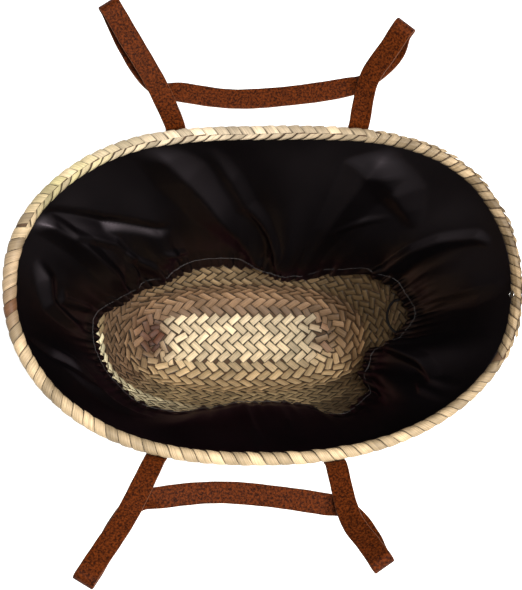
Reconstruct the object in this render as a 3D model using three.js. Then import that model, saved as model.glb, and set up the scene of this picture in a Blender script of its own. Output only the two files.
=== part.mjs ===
import * as THREE from "three";

// Straw basket bag: an oval basket of plaited palm strip with a bound rim,
// a satin skirt sewn in at the rim, and two flat leather handles.
// Millimetres, +Z up, +X along the length, origin under the middle of the base.

// Basket wall
const WALL_HEIGHT = 282;
const TOP_LENGTH = 476;
const TOP_WIDTH = 310;
const WALL_THICKNESS = 3.5;
const TOP_SHIFT_X = 23;
const TOP_SHIFT_Y = 11;
const COURSE_BELLY = 0.9;
const DENT_FADE = 1.5;

// Rim binding
const RIM_WIDTH = 11.3;
const RIM_RISE = 6;
const RIM_OUTER_DROP = 8;
const RIM_INNER_DROP = 2.4;

// Lining
const LINING_THICKNESS = 1.2;
const LINING_TOP_TUCK = 0.8;
const LINING_WALL_GAP = 1.4;

// Handles
const STRAP_WIDTH = 19.5;
const STRAP_THICKNESS = 2.4;
const STRAP_SEAT_LENGTH = 84;
const LEG_RUN = 92;
const LEG_RISE = 70;
const FOLD_RADIUS = 5.5;
const CROOK_TILT = 0.6;
const LEG_STRAIGHT = 0.6;
const BACK_LEG_SPACING = 173;
const FRONT_LEG_SPACING = 160;
const BACK_HANDLE_CENTRE = 27.5;
const FRONT_HANDLE_CENTRE = 8;

// Drawstring loop and rim ring
const CORD_DIAMETER = 3;
const LOOP_SIZE = 36;
const RIM_RING_DIAMETER = 6.5;
const RIM_RING_WIRE = 1;

// Gap kept between pieces
const CLEARANCE = 0.4;

// Fineness of the faceted forms
const AROUND_STEPS = 72;
const LINING_STEPS = 9;
const STRAP_STEPS = 3;
const CORD_STEPS = 42;
const CORD_SIDES = 8;
const RIM_RING_STEPS = 18;
const RIM_RING_SIDES = 6;

// Spans over which a slope is read: shares of the height and of the drop, and degrees
const SLOPE_UP = 0.012;
const SLOPE_DROP = 0.02;
const SLOPE_AROUND = 1;
const SEARCH_STEPS = 30;

// Finishes
const STRAW = { color: 0xd6c497, roughness: 0.75, metalness: 0 };
const BINDING = { color: 0xe2d6ae, roughness: 0.7, metalness: 0 };
const SATIN = { color: 0x1b1514, roughness: 0.4, metalness: 0 };
const CORD = { color: 0x17130f, roughness: 0.6, metalness: 0 };
const STEEL = { color: 0x8a8784, roughness: 0.35, metalness: 1 };
const LEATHER = { color: 0x6e3516, roughness: 0.5, metalness: 0 };

// Sections of the wall, from the edge of the flat base up to the rim.
// up: share of the wall height. length, width: shares of the top length and width.
// shift_x, shift_y: shares of the sideways shifts of the top. full: how squared the oval is.
const WALL_SECTIONS = [
  { up: 0.0, length: 0.462, width: 0.237, shift_x: 0.0, shift_y: 0.0, full: 3.0 },
  { up: 0.018, length: 0.513, width: 0.312, shift_x: 0.02, shift_y: -0.14, full: 2.9 },
  { up: 0.06, length: 0.559, width: 0.377, shift_x: 0.05, shift_y: -0.28, full: 2.8 },
  { up: 0.142, length: 0.602, width: 0.425, shift_x: 0.09, shift_y: -0.42, full: 2.7 },
  { up: 0.309, length: 0.697, width: 0.571, shift_x: 0.36, shift_y: -0.08, full: 2.6 },
  { up: 0.482, length: 0.775, width: 0.695, shift_x: 0.56, shift_y: 0.29, full: 2.5 },
  { up: 0.656, length: 0.856, width: 0.812, shift_x: 0.71, shift_y: 0.57, full: 2.45 },
  { up: 0.83, length: 0.93, width: 0.912, shift_x: 0.87, shift_y: 0.81, full: 2.4 },
  { up: 1.0, length: 1.0, width: 1.0, shift_x: 1.0, shift_y: 1.0, full: 2.35 },
];
const FIRST_COURSE_ROW = 3;

// Dents and swellings of the rim. around, spread: degrees. push: share of the half size.
const RIM_DENTS = [
  { around: 52, spread: 16, push: 0.06 },
  { around: 120, spread: 12, push: 0.02 },
  { around: 214, spread: 20, push: -0.035 },
  { around: 320, spread: 22, push: -0.038 },
  { around: 358, spread: 22, push: 0.008 },
];

// Width of the rim binding round the basket. around: degrees. wide: share of the rim width.
const RIM_WIDTHS = [
  { around: 0, wide: 0.82 },
  { around: 45, wide: 0.94 },
  { around: 95, wide: 1.18 },
  { around: 160, wide: 1.22 },
  { around: 200, wide: 1.08 },
  { around: 270, wide: 1.0 },
  { around: 335, wide: 0.85 },
];

// Outline of the rim binding, without its slot.
// across: share of half the rim width. up: share of the rise above the wall top,
// or of the drop of the outer or the inner lip below it.
const RIM_OUTLINE = [
  { across: 0.9, up: -1.0 },
  { across: 1.0, up: -0.45 },
  { across: 1.0, up: 0.2 },
  { across: 0.66, up: 0.8 },
  { across: 0.0, up: 1.0 },
  { across: -0.66, up: 0.8 },
  { across: -1.0, up: 0.2 },
  { across: -1.0, up: -0.45 },
  { across: -0.9, up: -1.0 },
];

// Hem of the lining. around: degrees. up: share of the wall height.
// reach: share of the way from the middle of the basket to its wall.
const LINING_HEM = [
  { around: 4, up: 0.443, reach: 0.985 },
  { around: 24, up: 0.4, reach: 0.98 },
  { around: 38, up: 0.383, reach: 0.93 },
  { around: 51, up: 0.355, reach: 0.8 },
  { around: 60, up: 0.337, reach: 0.72 },
  { around: 74, up: 0.337, reach: 0.66 },
  { around: 90, up: 0.348, reach: 0.8 },
  { around: 107, up: 0.355, reach: 0.81 },
  { around: 135, up: 0.372, reach: 0.73 },
  { around: 156, up: 0.39, reach: 0.82 },
  { around: 179, up: 0.418, reach: 0.985 },
  { around: 202, up: 0.433, reach: 0.985 },
  { around: 218, up: 0.48, reach: 0.985 },
  { around: 234, up: 0.55, reach: 0.985 },
  { around: 245, up: 0.532, reach: 0.985 },
  { around: 258, up: 0.408, reach: 0.98 },
  { around: 277, up: 0.365, reach: 0.93 },
  { around: 288, up: 0.39, reach: 0.95 },
  { around: 296, up: 0.6, reach: 0.985 },
  { around: 311, up: 0.48, reach: 0.98 },
  { around: 322, up: 0.372, reach: 0.86 },
  { around: 338, up: 0.372, reach: 0.8 },
  { around: 349, up: 0.408, reach: 0.92 },
];

// Folds that hang into the basket. around, spread, slant: degrees.
// depth: share of the fold depth. low: share of the drop where the fold is deepest.
const FOLD_DEPTH = 30;
const LINING_FOLDS = [
  { around: 14, spread: 6, slant: 4, depth: 0.35, low: 0.6 },
  { around: 33, spread: 7, slant: 6, depth: 0.55, low: 0.55 },
  { around: 57, spread: 6, slant: -7, depth: 0.6, low: 0.7 },
  { around: 82, spread: 9, slant: -9, depth: 0.9, low: 0.75 },
  { around: 104, spread: 7, slant: 4, depth: 0.35, low: 0.6 },
  { around: 124, spread: 7, slant: 8, depth: 0.6, low: 0.7 },
  { around: 146, spread: 6, slant: 8, depth: 0.55, low: 0.6 },
  { around: 166, spread: 6, slant: 6, depth: 0.35, low: 0.5 },
  { around: 206, spread: 8, slant: 8, depth: 0.35, low: 0.5 },
  { around: 248, spread: 6, slant: 4, depth: 0.2, low: 0.5 },
  { around: 272, spread: 8, slant: 6, depth: 0.35, low: 0.7 },
  { around: 312, spread: 6, slant: 12, depth: 0.45, low: 0.6 },
  { around: 340, spread: 7, slant: -6, depth: 0.5, low: 0.6 },
];

// How the strap lies from its sewn end up past the rim.
// along: share of the seat length above the end. off: share of the rim lip it stands off.
const STRAP_SEAT = [
  { along: 0.0, off: 0.0 },
  { along: 0.3, off: 0.0 },
  { along: 0.58, off: 0.1 },
  { along: 0.78, off: 0.55 },
  { along: 0.94, off: 1.1 },
  { along: 1.06, off: 1.25 },
];

// Free part of each leg, from the rim out to the fold and back under itself to the bar.
// spread: away from the handle middle. out: away from the basket. Both are shares of the leg run.
// up: share of the leg rise.
const BACK_LEFT_LEG = {
  mid: { spread: 0.165, out: 0.32, up: 0.42 },
  far: { spread: 0.57, out: 0.935, up: 1.0 },
  under: { spread: 0.43, out: 0.66, up: 0.5 },
  crook: { spread: 0.17, out: 0.33, up: 0.2 },
  bar: { spread: -0.09, out: 0.3, up: 0.14 },
};
const BACK_RIGHT_LEG = {
  mid: { spread: 0.07, out: 0.35, up: 0.42 },
  far: { spread: 0.36, out: 0.705, up: 1.0 },
  under: { spread: 0.32, out: 0.6, up: 0.52 },
  crook: { spread: 0.06, out: 0.4, up: 0.2 },
  bar: { spread: -0.19, out: 0.335, up: 0.14 },
};
const FRONT_LEFT_LEG = {
  mid: { spread: 0.22, out: 0.52, up: 0.44 },
  far: { spread: 0.51, out: 1.02, up: 1.0 },
  under: { spread: 0.38, out: 0.77, up: 0.5 },
  crook: { spread: 0.15, out: 0.41, up: 0.16 },
  bar: { spread: -0.11, out: 0.355, up: 0.13 },
};
const FRONT_RIGHT_LEG = {
  mid: { spread: 0.105, out: 0.5, up: 0.46 },
  far: { spread: 0.33, out: 0.835, up: 1.0 },
  under: { spread: 0.27, out: 0.67, up: 0.5 },
  crook: { spread: 0.07, out: 0.42, up: 0.16 },
  bar: { spread: -0.155, out: 0.37, up: 0.13 },
};
// Corners of the strap section. wide: share of the strap width. thick: share of its thickness.
const STRAP_SECTION = [
  { wide: 0.5, thick: 0 },
  { wide: 0.46, thick: 0.5 },
  { wide: -0.46, thick: 0.5 },
  { wide: -0.5, thick: 0 },
  { wide: -0.46, thick: -0.5 },
  { wide: 0.46, thick: -0.5 },
];

// Middle of the bar. sag: share of the leg rise. aside: share of the way across from the middle.
// out: share of the leg run.
const BAR_SAG = 0.09;
const BACK_BAR_MIDDLE = { aside: -0.15, out: 0.255 };
const FRONT_BAR_MIDDLE = { aside: -0.12, out: 0.315 };

// Drawstring loop, in shares of the loop size from the hem of the lining.
const CORD_ROUTE = [
  { inward: 0.08, along: 0.3, down: 0.19 },
  { inward: 0.26, along: 0.5, down: 0.28 },
  { inward: 0.5, along: 0.46, down: 0.4 },
  { inward: 0.66, along: 0.14, down: 0.52 },
  { inward: 0.62, along: -0.22, down: 0.56 },
  { inward: 0.42, along: -0.46, down: 0.5 },
  { inward: 0.24, along: -0.4, down: 0.36 },
  { inward: 0.12, along: -0.22, down: 0.24 },
];
const CORD_AROUND = 5;
const RIM_RING_AROUND = -1;

// Reads one column of a table at any share, as a smooth curve through the rows.
function readTable(rows, key, column, at) {
  let i = 0;
  while (i < rows.length - 2 && at > rows[i + 1][key]) {
    i += 1;
  }
  const a = rows[i];
  const b = rows[i + 1];
  const before = rows[Math.max(i - 1, 0)];
  const after = rows[Math.min(i + 2, rows.length - 1)];
  const span = b[key] - a[key];
  const f = Math.min(Math.max((at - a[key]) / span, 0), 1);
  const slopeA = ((b[column] - before[column]) / (b[key] - before[key])) * span;
  const slopeB = ((after[column] - a[column]) / (after[key] - a[key])) * span;
  const f2 = f * f;
  const f3 = f2 * f;
  return (
    a[column] * (2 * f3 - 3 * f2 + 1) +
    slopeA * (f3 - 2 * f2 + f) +
    b[column] * (3 * f2 - 2 * f3) +
    slopeB * (f3 - f2)
  );
}

// Reads one column of a table that runs right round the basket.
function readRound(rows, column, around) {
  const turn = ((around % 360) + 360) % 360;
  const last = rows[rows.length - 1];
  let a = { ...last, around: last.around - 360 };
  for (const b of [...rows, { ...rows[0], around: rows[0].around + 360 }]) {
    if (turn <= b.around) {
      const f = (turn - a.around) / (b.around - a.around);
      const eased = f * f * (3 - 2 * f);
      return a[column] + (b[column] - a[column]) * eased;
    }
    a = b;
  }
  return a[column];
}

function bump(around, centre, spread) {
  const off = ((((around - centre) % 360) + 540) % 360) - 180;
  return Math.exp(-(off * off) / (2 * spread * spread));
}

// Swell of one plaited course between its two seams.
function courseBelly(up) {
  for (let i = FIRST_COURSE_ROW; i < WALL_SECTIONS.length - 1; i += 1) {
    const low = WALL_SECTIONS[i].up;
    const high = WALL_SECTIONS[i + 1].up;
    if (up >= low && up <= high) {
      return COURSE_BELLY * Math.sin((Math.PI * (up - low)) / (high - low));
    }
  }
  return 0;
}

function wallMiddle(up) {
  const x = TOP_SHIFT_X * readTable(WALL_SECTIONS, "up", "shift_x", up);
  const y = TOP_SHIFT_Y * readTable(WALL_SECTIONS, "up", "shift_y", up);
  return new THREE.Vector3(x, y, up * WALL_HEIGHT);
}

// Point on the outside of the wall.
function wallPoint(around, up) {
  const turn = THREE.MathUtils.degToRad(around);
  const c = Math.cos(turn);
  const s = Math.sin(turn);
  const full = readTable(WALL_SECTIONS, "up", "full", up);
  const belly = courseBelly(up);
  const halfLength = (TOP_LENGTH / 2) * readTable(WALL_SECTIONS, "up", "length", up) + belly;
  const halfWidth = (TOP_WIDTH / 2) * readTable(WALL_SECTIONS, "up", "width", up) + belly;
  let reach = (Math.abs(c) ** full + Math.abs(s) ** full) ** (-1 / full);
  for (const dent of RIM_DENTS) {
    reach *= 1 + dent.push * bump(around, dent.around, dent.spread) * up ** DENT_FADE;
  }
  return wallMiddle(up).add(new THREE.Vector3(halfLength * c * reach, halfWidth * s * reach, 0));
}

// Directions up the wall, along it and straight out of it.
function wallDirections(around, up) {
  const high = wallPoint(around, Math.min(up + SLOPE_UP, 1));
  const low = wallPoint(around, Math.max(up - SLOPE_UP, 0));
  const ahead = wallPoint(around + SLOPE_AROUND, up);
  const behind = wallPoint(around - SLOPE_AROUND, up);
  const climb = high.sub(low).normalize();
  const along = ahead.sub(behind).normalize();
  const out = along.clone().cross(climb).normalize();
  return { climb, along, out };
}

function insideWall(around, up, depth) {
  const { out } = wallDirections(around, up);
  return wallPoint(around, up).addScaledVector(out, -depth);
}

function roundTheBasket(pointAt) {
  const ring = [];
  for (let i = 0; i < AROUND_STEPS; i += 1) {
    ring.push(pointAt((360 * i) / AROUND_STEPS));
  }
  return ring;
}

// Joins rings of points into one closed skin.
// With joined ends the last ring meets the first, else each end is closed flat.
function skinOverRings(rings, endsJoined) {
  const count = rings[0].length;
  const points = rings.flat();
  const faces = [];
  const bands = endsJoined ? rings.length : rings.length - 1;
  for (let r = 0; r < bands; r += 1) {
    const low = r * count;
    const high = ((r + 1) % rings.length) * count;
    for (let i = 0; i < count; i += 1) {
      const j = (i + 1) % count;
      faces.push(low + i, low + j, high + j);
      faces.push(low + i, high + j, high + i);
    }
  }
  if (!endsJoined) {
    const first = points.length;
    points.push(middleOf(rings[0]), middleOf(rings[rings.length - 1]));
    const top = (rings.length - 1) * count;
    for (let i = 0; i < count; i += 1) {
      const j = (i + 1) % count;
      faces.push(first, j, i);
      faces.push(first + 1, top + i, top + j);
    }
  }
  return facedOut(points, faces);
}

function middleOf(ring) {
  const middle = new THREE.Vector3();
  for (const point of ring) {
    middle.add(point);
  }
  return middle.divideScalar(ring.length);
}

function facedOut(points, faces) {
  let volume = 0;
  for (let i = 0; i < faces.length; i += 3) {
    const [a, b, c] = [points[faces[i]], points[faces[i + 1]], points[faces[i + 2]]];
    volume += a.dot(b.clone().cross(c));
  }
  const order = volume < 0 ? [...faces].reverse() : faces;
  const geometry = new THREE.BufferGeometry().setFromPoints(points);
  geometry.setIndex(order);
  geometry.computeVertexNormals();
  return geometry;
}

function piece(name, geometry, finish) {
  const mesh = new THREE.Mesh(geometry, new THREE.MeshStandardMaterial(finish));
  mesh.name = name;
  return mesh;
}

// Basket body: outside up, over the top edge, and back down the inside to the floor
function basketBody() {
  const rows = WALL_SECTIONS.map((row) => row.up);
  for (let i = FIRST_COURSE_ROW; i < WALL_SECTIONS.length - 1; i += 1) {
    rows.push((WALL_SECTIONS[i].up + WALL_SECTIONS[i + 1].up) / 2);
  }
  rows.sort((a, b) => a - b);
  const outside = rows.map((up) => roundTheBasket((around) => wallPoint(around, up)));
  const inside = rows.map((up) => roundTheBasket((around) => innerWallPoint(around, up)));
  return skinOverRings([...outside, ...inside.reverse()], false);
}

function innerWallPoint(around, up) {
  if (up === 0) {
    return wallPoint(around, 0).add(new THREE.Vector3(0, 0, WALL_THICKNESS));
  }
  return insideWall(around, up, WALL_THICKNESS);
}

// Rim binding: a ring with a slot from below that takes the wall edge and the lining
function rimBinding() {
  const outline = RIM_OUTLINE.map((row) => ({
    acrossAt: (around) => row.across * rimHalfWidth(around),
    up: row.up * rimShare(row),
  }));
  const slotOut = WALL_THICKNESS / 2 + CLEARANCE;
  const slotIn = WALL_THICKNESS / 2 + LINING_THICKNESS + 2 * CLEARANCE;
  outline.push({ acrossAt: () => -slotIn, up: -RIM_INNER_DROP });
  outline.push({ acrossAt: () => -slotIn, up: CLEARANCE });
  outline.push({ acrossAt: () => slotOut, up: CLEARANCE });
  outline.push({ acrossAt: () => slotOut, up: -RIM_OUTER_DROP });
  const rings = outline.map((spot) => roundTheBasket((around) => rimPoint(around, spot)));
  return skinOverRings(rings, true);
}

function rimShare(row) {
  if (row.up > 0) {
    return RIM_RISE;
  }
  return row.across > 0 ? RIM_OUTER_DROP : RIM_INNER_DROP;
}

function rimHalfWidth(around) {
  return (RIM_WIDTH / 2) * readRound(RIM_WIDTHS, "wide", around);
}

function rimPoint(around, spot) {
  const { climb, out } = wallDirections(around, 1);
  const middle = insideWall(around, 1, WALL_THICKNESS / 2);
  return middle.addScaledVector(out, spot.acrossAt(around)).addScaledVector(climb, spot.up);
}

// Lining: a skirt that hangs from the rim to its hem, pushed in by folds
function liningPoint(around, drop) {
  const topUp = 1 - (RIM_INNER_DROP + CLEARANCE) / WALL_HEIGHT;
  const top = insideWall(around, topUp, WALL_THICKNESS + CLEARANCE);
  const hem = hemPoint(around);
  const middle = wallMiddle(topUp + (hem.z / WALL_HEIGHT - topUp) * drop);
  const spot = top.lerp(hem, drop);
  const inward = middle.sub(spot).setZ(0).normalize();
  let push = 0;
  for (const fold of LINING_FOLDS) {
    const height = drop < fold.low ? drop / fold.low : (1 - drop) / (1 - fold.low);
    const rise = height * height * (3 - 2 * height);
    push += FOLD_DEPTH * fold.depth * rise * bump(around, fold.around + fold.slant * drop, fold.spread);
  }
  return spot.addScaledVector(inward, push);
}

function hemPoint(around) {
  const up = readRound(LINING_HEM, "up", around);
  const reach = readRound(LINING_HEM, "reach", around);
  const wall = insideWall(around, up, WALL_THICKNESS + LINING_WALL_GAP);
  const middle = wallMiddle(up);
  const spot = middle.clone().lerp(wall, reach);
  return spot.setZ(wall.z);
}

function liningFacing(around, drop) {
  const high = liningPoint(around, Math.max(drop - SLOPE_DROP, 0));
  const low = liningPoint(around, Math.min(drop + SLOPE_DROP, 1));
  const ahead = liningPoint(around + SLOPE_AROUND, drop);
  const behind = liningPoint(around - SLOPE_AROUND, drop);
  return high.sub(low).cross(ahead.sub(behind)).normalize();
}

function lining() {
  const tuckUp = 1 - LINING_TOP_TUCK / WALL_HEIGHT;
  const tuckDepth = WALL_THICKNESS + CLEARANCE;
  const outer = [roundTheBasket((around) => insideWall(around, tuckUp, tuckDepth))];
  const inner = [roundTheBasket((around) => insideWall(around, tuckUp, tuckDepth + LINING_THICKNESS))];
  for (let i = 0; i < LINING_STEPS; i += 1) {
    const drop = i / (LINING_STEPS - 1);
    outer.push(roundTheBasket((around) => liningPoint(around, drop)));
    inner.push(roundTheBasket((around) => innerLiningPoint(around, drop)));
  }
  return skinOverRings([...outer, ...inner.reverse()], true);
}

function innerLiningPoint(around, drop) {
  if (drop === 0) {
    const { out } = wallDirections(around, 1);
    return liningPoint(around, 0).addScaledVector(out, -LINING_THICKNESS);
  }
  return liningPoint(around, drop).addScaledVector(liningFacing(around, drop), LINING_THICKNESS);
}

// Handles: one strap each, sewn flat to the wall at both ends
function aroundAtX(x, up, side) {
  let low = 0;
  let high = 180;
  for (let i = 0; i < SEARCH_STEPS; i += 1) {
    const trial = (low + high) / 2;
    if (wallPoint(trial * side, up).x > x) {
      low = trial;
    } else {
      high = trial;
    }
  }
  return low * side;
}

// Spots down one leg: each has a place and the direction across the strap.
function legSpots(seatX, leg, side, hand) {
  const spots = [];
  for (const row of STRAP_SEAT) {
    const up = (WALL_HEIGHT - STRAP_SEAT_LENGTH * (1 - row.along)) / WALL_HEIGHT;
    const around = aroundAtX(seatX, Math.min(up, 1), side);
    const lip = rimHalfWidth(around) - WALL_THICKNESS / 2;
    const { climb, along, out } = wallDirections(around, Math.min(up, 1));
    const across = along.multiplyScalar(hand);
    const off = STRAP_THICKNESS / 2 + 2 * CLEARANCE + row.off * lip;
    const place = wallPoint(around, Math.min(up, 1)).addScaledVector(out, off);
    if (up > 1) {
      place.addScaledVector(climb, (up - 1) * WALL_HEIGHT);
    }
    spots.push({ place, across });
  }
  const start = spots[spots.length - 1].place;
  const spotAt = (row) =>
    new THREE.Vector3(
      start.x + hand * row.spread * LEG_RUN,
      start.y + side * row.out * LEG_RUN,
      WALL_HEIGHT + RIM_RISE + row.up * LEG_RISE
    );
  const mid = spotAt(leg.mid);
  const far = spotAt(leg.far);
  const outward = far.clone().sub(mid).setZ(0).normalize();
  const legAcross = new THREE.Vector3(outward.y, -outward.x, 0).multiplyScalar(-hand);
  const fold = far.clone().addScaledVector(outward, FOLD_RADIUS);
  fold.z -= FOLD_RADIUS;
  const below = far.clone();
  below.z -= 2 * FOLD_RADIUS;
  const barAcross = new THREE.Vector3(0, 1, 0);
  const crookAcross = legAcross.clone().add(barAcross).normalize();
  crookAcross.z = -side * CROOK_TILT;
  crookAcross.normalize();
  spots.push({ place: mid, across: legAcross });
  spots.push({ place: mid.clone().lerp(far, LEG_STRAIGHT), across: legAcross });
  spots.push({ place: far, across: legAcross });
  spots.push({ place: fold, across: legAcross });
  spots.push({ place: below, across: legAcross });
  spots.push({ place: spotAt(leg.under), across: legAcross });
  spots.push({ place: spotAt(leg.crook), across: crookAcross });
  spots.push({ place: spotAt(leg.bar), across: barAcross });
  return spots;
}

function handle(centre, spacing, side, leftLeg, rightLeg, barMiddle) {
  const left = legSpots(centre - spacing / 2, leftLeg, side, -1);
  const right = legSpots(centre + spacing / 2, rightLeg, side, 1);
  const barLeft = left[left.length - 1].place;
  const barRight = right[right.length - 1].place;
  const middle = barLeft.clone().lerp(barRight, 0.5 + barMiddle.aside);
  middle.z -= BAR_SAG * LEG_RISE;
  middle.y = left[STRAP_SEAT.length - 1].place.y + side * barMiddle.out * LEG_RUN;
  const spots = [...left, { place: middle, across: new THREE.Vector3(0, 1, 0) }, ...right.reverse()];
  return strapAlong(spots);
}

function strapAlong(spots) {
  const route = new THREE.CatmullRomCurve3(
    spots.map((spot) => spot.place),
    false,
    "centripetal"
  );
  const rings = [];
  const steps = (spots.length - 1) * STRAP_STEPS;
  for (let i = 0; i <= steps; i += 1) {
    const place = route.getPoint(i / steps);
    const along = route.getTangent(i / steps);
    const from = Math.min(Math.floor(i / STRAP_STEPS), spots.length - 2);
    const f = i / STRAP_STEPS - from;
    const across = spots[from].across.clone().lerp(spots[from + 1].across, f * f * (3 - 2 * f));
    across.addScaledVector(along, -across.dot(along)).normalize();
    const face = along.clone().cross(across);
    rings.push(
      STRAP_SECTION.map((corner) =>
        place
          .clone()
          .addScaledVector(across, corner.wide * STRAP_WIDTH)
          .addScaledVector(face, corner.thick * STRAP_THICKNESS)
      )
    );
  }
  return skinOverRings(rings, false);
}

// Drawstring loop: a free cord that leaves the casing and comes back to it
function drawstringLoop() {
  const hem = hemPoint(CORD_AROUND);
  const spots = CORD_ROUTE.map(
    (row) =>
      new THREE.Vector3(
        hem.x - row.inward * LOOP_SIZE,
        hem.y + row.along * LOOP_SIZE,
        hem.z - row.down * LOOP_SIZE
      )
  );
  const route = new THREE.CatmullRomCurve3(spots, false, "centripetal");
  const section = new THREE.Shape();
  for (let i = 0; i < CORD_SIDES; i += 1) {
    const turn = (2 * Math.PI * i) / CORD_SIDES;
    const x = (CORD_DIAMETER / 2) * Math.cos(turn);
    const y = (CORD_DIAMETER / 2) * Math.sin(turn);
    if (i === 0) {
      section.moveTo(x, y);
    } else {
      section.lineTo(x, y);
    }
  }
  section.closePath();
  return new THREE.ExtrudeGeometry(section, { steps: CORD_STEPS, extrudePath: route });
}

// Rim ring: a small wire ring that hangs flat against the inside of the rim
function rimRing() {
  const { out } = wallDirections(RIM_RING_AROUND, 1);
  const inward = -rimHalfWidth(RIM_RING_AROUND) - RIM_RING_WIRE / 2 - CLEARANCE;
  const place = rimPoint(RIM_RING_AROUND, { acrossAt: () => inward, up: 0 });
  const geometry = new THREE.TorusGeometry(
    RIM_RING_DIAMETER / 2,
    RIM_RING_WIRE / 2,
    RIM_RING_SIDES,
    RIM_RING_STEPS
  );
  const turn = new THREE.Quaternion().setFromUnitVectors(new THREE.Vector3(0, 0, 1), out);
  geometry.applyQuaternion(turn);
  geometry.translate(place.x, place.y, place.z);
  return geometry;
}

const bag = new THREE.Group();
bag.name = "straw_basket_bag";
bag.add(piece("basket_body", basketBody(), STRAW));
bag.add(piece("rim_binding", rimBinding(), BINDING));
bag.add(piece("lining", lining(), SATIN));
bag.add(piece("drawstring_loop", drawstringLoop(), CORD));
bag.add(piece("rim_ring", rimRing(), STEEL));
const backHandle = handle(
  BACK_HANDLE_CENTRE,
  BACK_LEG_SPACING,
  1,
  BACK_LEFT_LEG,
  BACK_RIGHT_LEG,
  BACK_BAR_MIDDLE
);
bag.add(piece("handle_back", backHandle, LEATHER));
const frontHandle = handle(
  FRONT_HANDLE_CENTRE,
  FRONT_LEG_SPACING,
  -1,
  FRONT_LEFT_LEG,
  FRONT_RIGHT_LEG,
  FRONT_BAR_MIDDLE
);
bag.add(piece("handle_front", frontHandle, LEATHER));

export default bag;
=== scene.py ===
import math

import bpy
import numpy as np
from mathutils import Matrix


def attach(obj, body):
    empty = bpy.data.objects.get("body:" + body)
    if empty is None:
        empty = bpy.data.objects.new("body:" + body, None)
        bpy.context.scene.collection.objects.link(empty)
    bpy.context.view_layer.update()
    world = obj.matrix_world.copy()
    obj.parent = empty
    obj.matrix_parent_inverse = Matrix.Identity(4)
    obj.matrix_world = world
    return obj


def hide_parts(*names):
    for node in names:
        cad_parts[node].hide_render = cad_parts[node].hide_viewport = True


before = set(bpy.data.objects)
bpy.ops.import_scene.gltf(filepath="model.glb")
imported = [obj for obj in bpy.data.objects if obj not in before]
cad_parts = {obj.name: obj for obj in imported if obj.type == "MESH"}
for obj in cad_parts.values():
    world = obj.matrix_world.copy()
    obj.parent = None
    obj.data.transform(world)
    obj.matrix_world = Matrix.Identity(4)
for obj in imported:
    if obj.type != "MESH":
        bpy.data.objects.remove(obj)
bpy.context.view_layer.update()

# ---------------------------------------------------------------------------
# Studio: a white floor, one soft light over the bag, one from the front right and a weak one
# at the back left.
# The camera looks down into the open basket, tilted a little from the front.
# ---------------------------------------------------------------------------

MM = 0.001
FRAME_HEIGHT = 590
CAMERA_TARGET = np.array([0.022, 0.008, 0.285])
CAMERA_DISTANCE = 0.9
CAMERA_ELEVATION = math.radians(81)
CAMERA_FOCUS = 972


def plain_object(name, data):
    made = bpy.data.objects.new(name, data)
    bpy.context.collection.objects.link(made)
    return made


def mesh_from(name, points, faces, smooth=True):
    mesh = bpy.data.meshes.new(name)
    mesh.from_pydata([tuple(p) for p in points], [], [tuple(int(i) for i in f) for f in faces])
    mesh.update()
    mesh.polygons.foreach_set("use_smooth", [smooth] * len(mesh.polygons))
    return mesh


def paint(red, green, blue):
    """A colour as the eye sees it, 0 to 255, as shader values."""
    share = np.array([red, green, blue]) / 255
    return np.where(share <= 0.04045, share / 12.92, ((share + 0.055) / 1.055) ** 2.4)


def new_material(name):
    material = bpy.data.materials.new(name)
    material.use_nodes = True
    return material, material.node_tree, material.node_tree.nodes["Principled BSDF"]


def feed(node, given):
    """Sets each input that is named, or links it where an output is given."""
    for socket, value in given.items():
        if isinstance(value, bpy.types.NodeSocket):
            node.id_data.links.new(value, node.inputs[socket])
        else:
            node.inputs[socket].default_value = value


def add_node(tree, kind, given=None, **settings):
    node = tree.nodes.new(kind)
    for key, value in settings.items():
        setattr(node, key, value)
    feed(node, given or {})
    return node


def noise(tree, scale, place=None, **given):
    spot = {"Vector": place} if place else {}
    return add_node(tree, "ShaderNodeTexNoise", {"Scale": scale, **spot, **given}).outputs["Fac"]


def tones_by(tree, share, dark, light, at=(0, 1)):
    """Colour that goes from dark to light as share does."""
    ramp = add_node(tree, "ShaderNodeValToRGB", {"Fac": share})
    for element, colour, position in zip(ramp.color_ramp.elements, (dark, light), at):
        element.color = (*colour, 1)
        element.position = position
    return ramp.outputs["Color"]


camera_data = bpy.data.cameras.new("camera")
camera_data.lens = camera_data.sensor_width * CAMERA_FOCUS / FRAME_HEIGHT
camera = plain_object("camera", camera_data)
camera.location = CAMERA_TARGET + CAMERA_DISTANCE * np.array(
    [0, -math.cos(CAMERA_ELEVATION), math.sin(CAMERA_ELEVATION)]
)
camera.rotation_euler = (math.pi / 2 - CAMERA_ELEVATION, 0, 0)
bpy.context.scene.camera = camera
bpy.context.scene.view_settings.view_transform = "Standard"

world = bpy.data.worlds.new("studio")
bpy.context.scene.world = world
world.use_nodes = True
world.node_tree.nodes["Background"].inputs["Color"].default_value = (1, 1, 1, 1)
world.node_tree.nodes["Background"].inputs["Strength"].default_value = 0.2

for name, place, size, power, aim in [
    ("light_over", (0.25, -0.1, 1.9), 0.4, 24, (0.0, 0.0, 0.1)),
    ("light_right", (1.0, -0.5, 1.6), 0.4, 20, (-0.05, 0.05, 0.15)),
    ("light_left", (-1.5, 0.6, 1.3), 0.8, 2, (0.0, 0.0, 0.15)),
]:
    light_data = bpy.data.lights.new(name, "AREA")
    light_data.size = size
    light_data.energy = power
    light = plain_object(name, light_data)
    light.location = place
    away = np.array(place) - np.array(aim)
    light.rotation_euler = (
        math.atan2(math.hypot(away[0], away[1]), away[2]),
        0,
        math.atan2(away[1], away[0]) + math.pi / 2,
    )

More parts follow.
